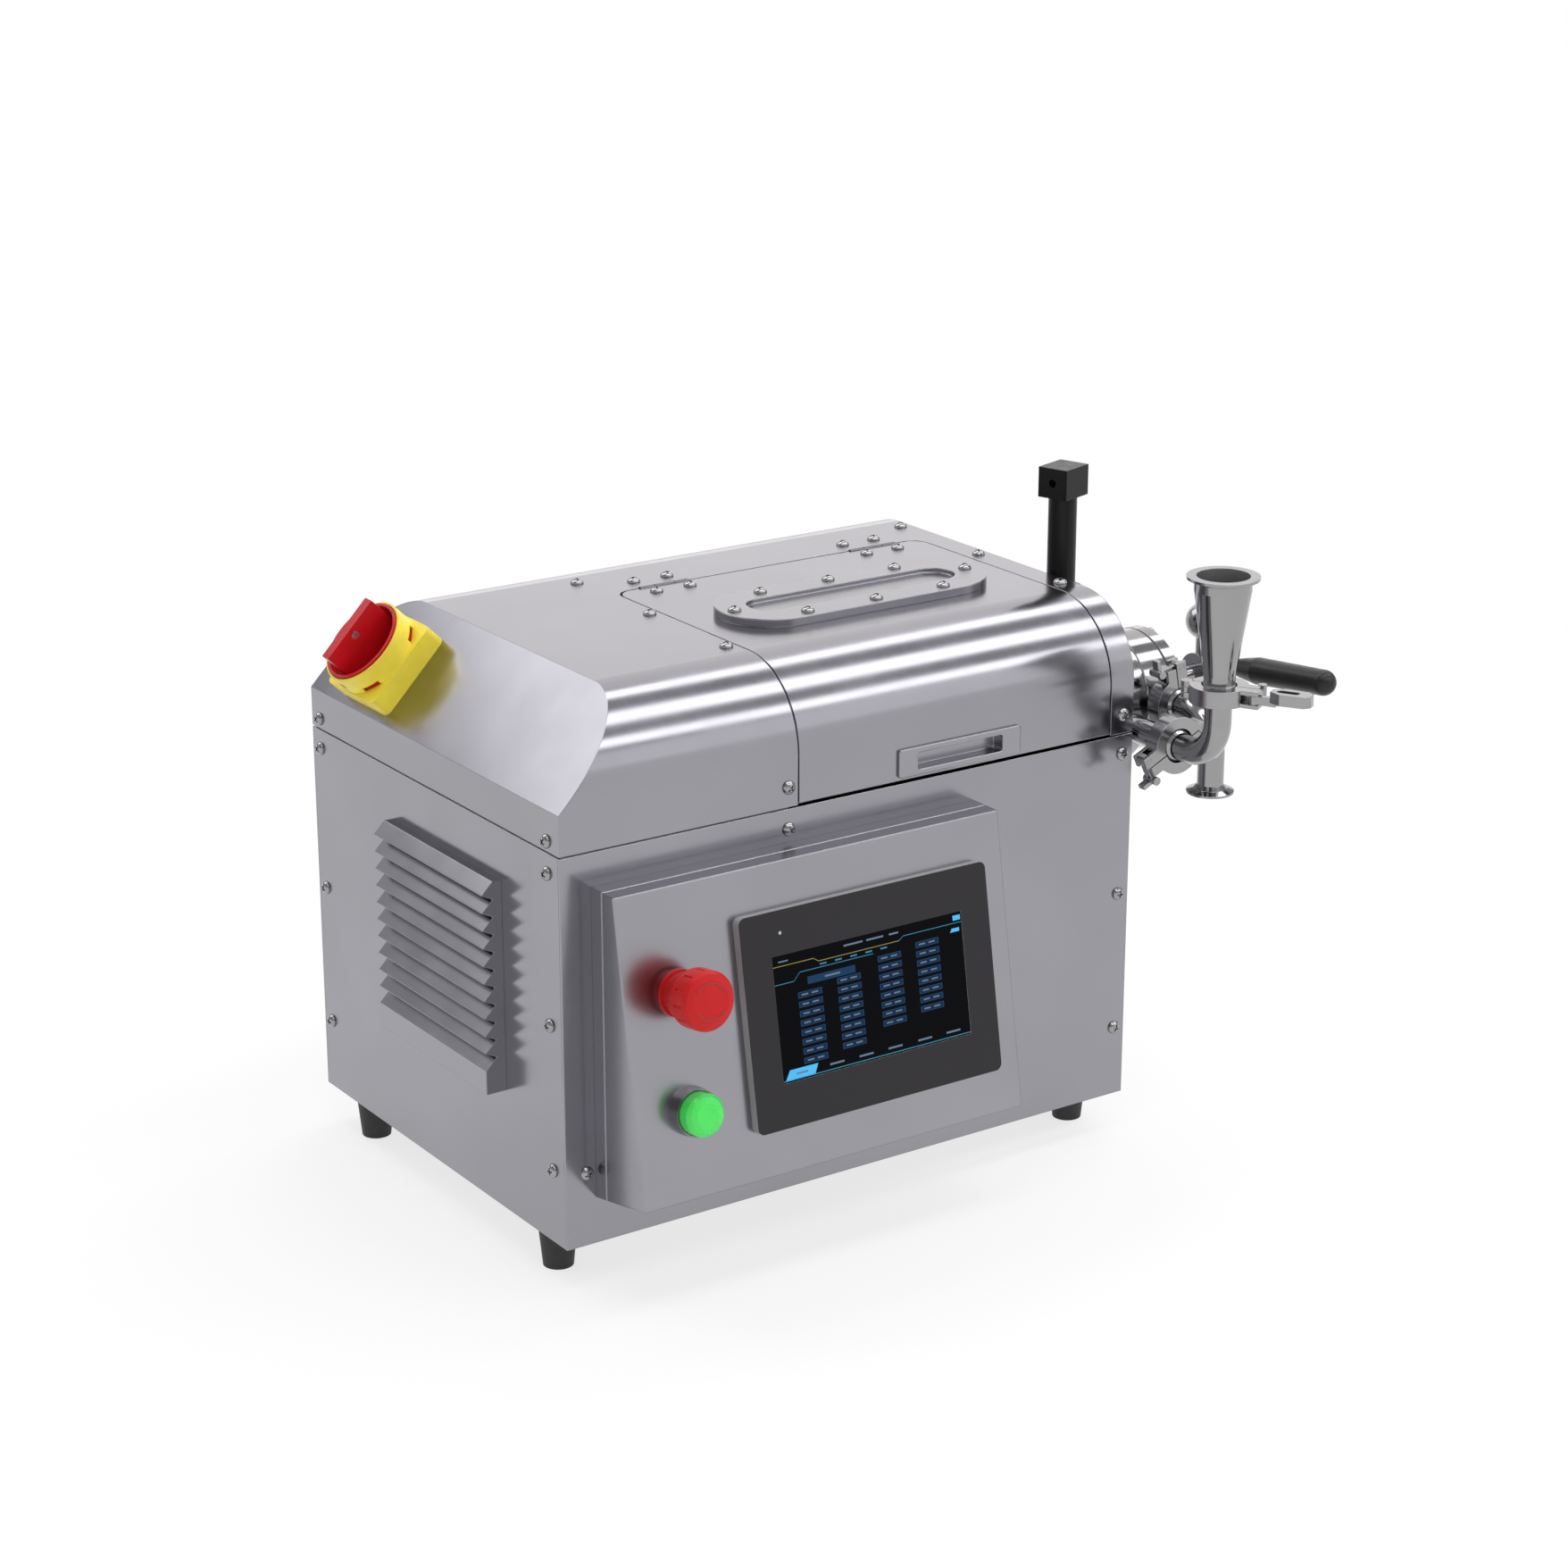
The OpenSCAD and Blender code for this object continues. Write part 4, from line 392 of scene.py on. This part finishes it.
def clusters(points, reach):
    """Points grouped round the first of each group."""
    groups = []
    for p in points:
        for group in groups:
            if (group[0] - p).length < reach:
                group.append(p)
                break
        else:
            groups.append([p])
    return groups


# Each screw is turned a little further than the one before it
HOUSING_TURN_STEP = 37
COVER_TURN_STEP = 41


def housing_screw_places():
    """Seat, outward axis and turn of each head in the CAD node."""
    middle = centre("front_panel")
    middle.y = centre("base_tray").y
    heads = clusters(vertices("housing_screws"), reach=2.3 * SCREW_R)
    places = []
    for k, points in enumerate(heads):
        low = Vector(min(p[i] for p in points) for i in range(3))
        high = Vector(max(p[i] for p in points) for i in range(3))
        flat = min(range(3), key=lambda i: high[i] - low[i])
        seat = (low + high) / 2
        out = Vector((0, 0, 0))
        out[flat] = 1 if seat[flat] > middle[flat] else -1
        seat[flat] = low[flat] if out[flat] > 0 else high[flat]
        places.append((seat, out, HOUSING_TURN_STEP * k))
    return places


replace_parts(screw_set("housing_screw_heads", "housing", housing_screw_places()), "housing_screws")

# Two screws on the lid's side of each hinge, and eight round the inspection cover
HINGE_L = 40 * MM
HINGE_SCREW_X, HINGE_SCREW_Y = 14 * MM, 13 * MM
HINGE_TURN, HINGE_TURN_STEP = 25, 50
COVER_SCREW_X, COVER_SCREW_Y, COVER_SCREW_END = 57.8 * MM, 29.3 * MM, 98.8 * MM


def hinge_screw_places():
    low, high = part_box("hinge_pins")
    y, z = centre("hinge_pins").y - HINGE_SCREW_Y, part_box("lid")[1][2]
    places = []
    for x in (low[0] + HINGE_L / 2, high[0] - HINGE_L / 2):
        for side in (-1, 1):
            seat = Vector((x + side * HINGE_SCREW_X, y, z))
            places.append((seat, UP, HINGE_TURN + HINGE_TURN_STEP * side))
    return places


def cover_screw_places():
    seat = centre("inspection_cover")
    seat.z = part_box("inspection_cover")[1][2]
    rows = [(x, side * COVER_SCREW_Y) for x in (-COVER_SCREW_X, 0, COVER_SCREW_X) for side in (-1, 1)]
    ends = [(-COVER_SCREW_END, 0), (COVER_SCREW_END, 0)]
    return [(seat + Vector((x, y, 0)), UP, COVER_TURN_STEP * k) for k, (x, y) in enumerate(rows + ends)]


screw_set("lid_screw_heads", "lid", hinge_screw_places() + cover_screw_places())

# Emergency stop: two raised turning arrows on its face, in millimetres and degrees
ARROW_R, ARROW_W = 12.2, 1.3
ARROW_LIFT, ARROW_SINK = 0.25, 0.2
ARROW_STARTS, ARROW_SPAN, ARROW_STEPS = (25, 205), 105, 18
ARROW_HEAD_W, ARROW_HEAD_SPAN = 3.2, 14


def arrow_strips(start):
    """Corners of the flat quads of one curved arrow, and of the triangle of its head."""
    def at(degrees, radius):
        a = math.radians(degrees)
        return (radius * math.cos(a), radius * math.sin(a))

    def across(degrees, width):
        return at(degrees, ARROW_R - width / 2), at(degrees, ARROW_R + width / 2)

    end = start + ARROW_SPAN
    pairs = [across(start + ARROW_SPAN * i / ARROW_STEPS, ARROW_W) for i in range(ARROW_STEPS + 1)]
    strips = [(a, b, d, c) for (a, b), (c, d) in zip(pairs, pairs[1:])]
    return strips + [(*across(end, ARROW_HEAD_W), at(end + ARROW_HEAD_SPAN, ARROW_R))]


def face_top(node):
    """Point on the node's axis at its outermost distance along the control face's normal."""
    points = vertices(node)
    middle = mean(points)
    return middle + FACE_OUT * max((p - middle).dot(FACE_OUT) for p in points)


def stop_arrows():
    origin = face_top("estop_head")
    bm = bmesh.new()
    for strip in [strip for start in ARROW_STARTS for strip in arrow_strips(start)]:
        top = [bm.verts.new(on_face(origin, x, y, ARROW_LIFT)) for x, y in strip]
        low = [bm.verts.new(on_face(origin, x, y, -ARROW_SINK)) for x, y in strip]
        bm.faces.new(top)
        bm.faces.new(low)
        for i in range(len(strip)):
            j = (i + 1) % len(strip)
            bm.faces.new((top[i], top[j], low[j], low[i]))
    bmesh.ops.remove_doubles(bm, verts=bm.verts, dist=0.01 * MM)
    new_piece("stop_arrows", bm, ESTOP_MARK, "estop")


stop_arrows()


# Touch panel: a generic picture in thin layers on the glass
class Screen:
    """Flat shapes on the glass, placed by shares of its width (from the left) and height (from the top)."""

    def __init__(self):
        points = vertices("panel_glass")
        self.middle = mean(points)
        local = [p - self.middle for p in points]
        self.w = 2 * max(p.dot(FACE_X) for p in local) / MM
        self.h = 2 * max(p.dot(FACE_UP) for p in local) / MM
        self.front = max(p.dot(FACE_OUT) for p in local) / MM

    def point(self, u, v, lift_mm):
        return on_face(self.middle, (u - 0.5) * self.w, (0.5 - v) * self.h, self.front + lift_mm)

    def layer(self, name, material, shapes, lift_mm):
        bm = bmesh.new()
        for shape in shapes:
            bm.faces.new([bm.verts.new(self.point(u, v, lift_mm)) for u, v in shape])
        piece = new_piece(name, bm, material, "housing")
        for face in piece.data.polygons:
            if face.normal.dot(FACE_OUT) < 0:
                face.flip()


def bar(u0, v0, u1, v1):
    return [(u0, v0), (u0, v1), (u1, v1), (u1, v0)]


def stroke(points, width):
    """Thin quads along a path of horizontal and slanted stretches."""
    half = width / 2
    return [[(u0, v0 - half), (u0, v0 + half), (u1, v1 + half), (u1, v1 - half)]
            for (u0, v0), (u1, v1) in zip(points, points[1:])]


# Heights of the layers over the glass, in millimetres
CELL_LIFT, RULE_LIFT, FIELD_LIFT, MARK_LIFT = 0.04, 0.05, 0.06, 0.08
# Left and top of each column of cells, and its cells; all in shares of the screen
COLUMNS = ((0.115, 0.320), (0.320, 0.285), (0.540, 0.195), (0.745, 0.160))
CELLS_PER_COLUMN = 8
CELL_W, CELL_H, CELL_PITCH = 0.125, 0.050, 0.074
FIELD_INSET_U, FIELD_INSET_V = 0.006, 0.008
# Two dashes in each cell
DASH_STARTS, DASH_W = (0.018, 0.070), 0.034
DASH_V, DASH_H = 0.019, 0.012
HEADING = bar(0.17, 0.215, 0.42, 0.275)
# The top line is gold up to its middle stretch
TOP_LINE = ((0, 0.085), (0.21, 0.085), (0.235, 0.115), (0.66, 0.115), (0.685, 0.085), (1, 0.085))
GOLD_STRETCHES = 3
SHELF_LINE = ((0, 0.225), (0.10, 0.225), (0.135, 0.165), (0.52, 0.165))
FOOT_LINE = ((0, 0.985), (1, 0.985))
LINE_W, FOOT_W = 0.006, 0.008
TABS = [
    [(0.012, 0.985), (0.038, 0.905), (0.185, 0.905), (0.165, 0.985)],
    bar(0.955, 0.025, 0.995, 0.065),
    [(0.935, 0.155), (0.945, 0.125), (0.985, 0.125), (0.985, 0.155)],
]
HEADING_MARKS = [
    bar(0.26, 0.238, 0.34, 0.252),
    bar(0.07, 0.938, 0.13, 0.952),
    bar(0.37, 0.040, 0.47, 0.054),
    bar(0.49, 0.040, 0.58, 0.054),
    bar(0.61, 0.040, 0.66, 0.054),
    bar(0.03, 0.045, 0.08, 0.056),
]
FOOT_MARKS = [bar(u, 0.935, u + 0.075, 0.950) for u in (0.245, 0.400, 0.555, 0.715, 0.870)]
STATE_MARKS = [bar(u, 0.135, u + 0.035, 0.148) for u in (0.24, 0.32, 0.40, 0.48, 0.56)]


def screen_picture(screen):
    cells, fields, dashes = [HEADING], [], []
    for u, top in COLUMNS:
        for i in range(CELLS_PER_COLUMN):
            v = top + i * CELL_PITCH
            cells.append(bar(u, v, u + CELL_W, v + CELL_H))
            fields.append(bar(u + FIELD_INSET_U, v + FIELD_INSET_V,
                              u + CELL_W - FIELD_INSET_U, v + CELL_H - FIELD_INSET_V))
            for start in DASH_STARTS:
                dashes.append(bar(u + start, v + DASH_V, u + start + DASH_W, v + DASH_V + DASH_H))
    top_line = stroke(TOP_LINE, LINE_W)
    lines = stroke(SHELF_LINE, LINE_W) + stroke(FOOT_LINE, FOOT_W) + top_line[GOLD_STRETCHES:]
    screen.layer("screen_cells", SCREEN_EDGE, cells, CELL_LIFT)
    screen.layer("screen_fields", SCREEN_NAVY, fields, FIELD_LIFT)
    screen.layer("screen_rules", SCREEN_CYAN, lines, RULE_LIFT)
    screen.layer("screen_gold_rule", SCREEN_GOLD, top_line[:GOLD_STRETCHES], RULE_LIFT)
    screen.layer("screen_tabs", SCREEN_BLUE, TABS, RULE_LIFT)
    screen.layer("screen_marks", SCREEN_MARK, dashes + HEADING_MARKS + FOOT_MARKS, MARK_LIFT)
    screen.layer("screen_states", SCREEN_CYAN, STATE_MARKS, FIELD_LIFT)


# Small round sensor window in the panel's frame, in millimetres from the middle of the glass
LAMP_X, LAMP_UP, LAMP_OUT = -69, 58, 1.2
LAMP_R, LAMP_TOP_R, LAMP_H = 1.3, 1.1, 0.5


def panel_lamp(screen):
    bm = bmesh.new()
    stand = Matrix.Translation(on_face(screen.middle, LAMP_X, LAMP_UP, LAMP_OUT)) @ turn_to(FACE_OUT)
    bmesh.ops.create_cone(bm, cap_ends=True, segments=24, radius1=LAMP_R * MM, radius2=LAMP_TOP_R * MM,
                          depth=LAMP_H * MM, matrix=stand)
    new_piece("panel_lamp", bm, LAMP, "housing")


touch_panel = Screen()
screen_picture(touch_panel)
panel_lamp(touch_panel)


# Studio
def look_at(thing, place, target):
    """Puts a light or camera at a place and turns it towards a target."""
    thing.location = place
    thing.rotation_euler = (Vector(target) - Vector(place)).to_track_quat("-Z", "Y").to_euler()


def area_light(name, place, target, size, radiance, color=(1, 1, 1)):
    """A softbox of the given width and height; radiance is its brightness as seen in a mirror."""
    lamp = bpy.data.lights.new(name, "AREA")
    lamp.shape = "RECTANGLE"
    lamp.size, lamp.size_y = size
    lamp.energy = radiance * math.pi * size[0] * size[1]
    lamp.color = color
    light = add_object(name, lamp)
    look_at(light, place, target)
    light.visible_camera = False


# Three long strips over the part, which show as bands in the arch: their y and width
CEILING, STRIP_X, STRIP_L, STRIP_RADIANCE = 2.4, 1.3, 4.6, 3.4
STRIPS = {"front_strip": (-2.33, 0.82), "middle_strip": (-0.67, 0.68), "rear_strip": (0.80, 0.60)}
for name, (y, width) in STRIPS.items():
    area_light(name, (STRIP_X, y, CEILING), (STRIP_X, y, 0), (STRIP_L, width), STRIP_RADIANCE)

# One softbox for what the top mirrors, one for the slant and one for the lower arch
TOP_CENTRE, SLANT_CENTRE, ARCH_CENTRE = Vector((0.05, 0, 0.40)), (-0.2, 0, 0.36), (0.05, -0.15, 0.36)
BACK_PLACE = TOP_CENTRE + 2.6 * Vector((0.50, 0.74, 0.45))
WARM = (1, 0.965, 0.94)
area_light("back_softbox", BACK_PLACE, TOP_CENTRE, size=(2.4, 2.1), radiance=0.76, color=WARM)
area_light("left_softbox", (-1.03, 1.74, 2.16), SLANT_CENTRE, size=(1.8, 1.5), radiance=2.0)
area_light("front_softbox", (1.81, -2.61, 1.46), ARCH_CENTRE, size=(2.6, 1.0), radiance=0.9)

# Heights, as shares of straight up, between which the white horizon turns into the dim ceiling
HORIZON_TOP, CEILING_LOW = 0.16, 0.24
HORIZON_COLOR, CEILING_COLOR = (1, 1, 1, 1), (0.42, 0.42, 0.44, 1)


def make_world():
    world = bpy.data.worlds.new("studio")
    bpy.context.scene.world = world
    world.use_nodes = True
    tree = world.node_tree
    place = tree.nodes.new("ShaderNodeTexCoord")
    split = tree.nodes.new("ShaderNodeSeparateXYZ")
    ramp = tree.nodes.new("ShaderNodeValToRGB")
    tree.links.new(place.outputs["Generated"], split.inputs["Vector"])
    tree.links.new(split.outputs["Z"], ramp.inputs["Fac"])
    tree.links.new(ramp.outputs["Color"], tree.nodes["Background"].inputs["Color"])
    low, high = ramp.color_ramp.elements
    low.position, low.color = HORIZON_TOP, HORIZON_COLOR
    high.position, high.color = CEILING_LOW, CEILING_COLOR


make_world()

# Share of the white backdrop in the floor: close to the part, where its shadow shows, and far from it
NEAR_WHITE, FAR_WHITE = 0.72, 1.0
NEAR_M, FAR_M = 0.45, 1.1
FLOOR_R = 40


def floor_material():
    """Pale floor that fades to an even white backdrop for the camera and for mirror-like surfaces."""
    s = Shader("pale_floor", (0.90, 0.90, 0.90), rough=0.9, shine=0.1)
    away = s.math("VectorMath", "LENGTH", s.place)["Value"]
    fade = s.map_range(away, (NEAR_M, FAR_M), (NEAR_WHITE, FAR_WHITE), curve="SMOOTHSTEP")
    rays = s.nodes.new("ShaderNodeLightPath").outputs
    seen = rays["Is Camera Ray"]
    for ray in ("Is Glossy Ray", "Is Transmission Ray"):
        seen = s.math("Math", "MAXIMUM", seen, rays[ray])["Value"]
    share = s.math("Math", "MULTIPLY", seen, fade)["Value"]
    white = s.nodes.new("ShaderNodeEmission")
    mix = s.nodes.new("ShaderNodeMixShader")
    s.links.new(share, mix.inputs["Fac"])
    s.links.new(s.bsdf.outputs["BSDF"], mix.inputs[1])
    s.links.new(white.outputs["Emission"], mix.inputs[2])
    s.links.new(mix.outputs["Shader"], s.nodes["Material Output"].inputs["Surface"])
    return s.material


def make_floor():
    bm = bmesh.new()
    bmesh.ops.create_circle(bm, cap_ends=True, segments=96, radius=FLOOR_R)
    floor = add_object("floor", mesh_from("floor", bm))
    floor.data.materials.append(floor_material())


make_floor()

# The photo's view: azimuth -34 degrees, elevation 19 degrees
SENSOR_MM, LENS_MM = 36, 82.24
CAMERA_PLACE, CAMERA_TARGET = (-1.3219, -2.0189, 1.0757), (-0.0622, -0.170, 0.3222)


def make_camera():
    data = bpy.data.cameras.new("camera")
    data.sensor_width, data.lens = SENSOR_MM, LENS_MM
    camera = add_object("camera", data)
    look_at(camera, CAMERA_PLACE, CAMERA_TARGET)
    bpy.context.scene.camera = camera


make_camera()
bpy.context.scene.view_settings.view_transform = "Standard"
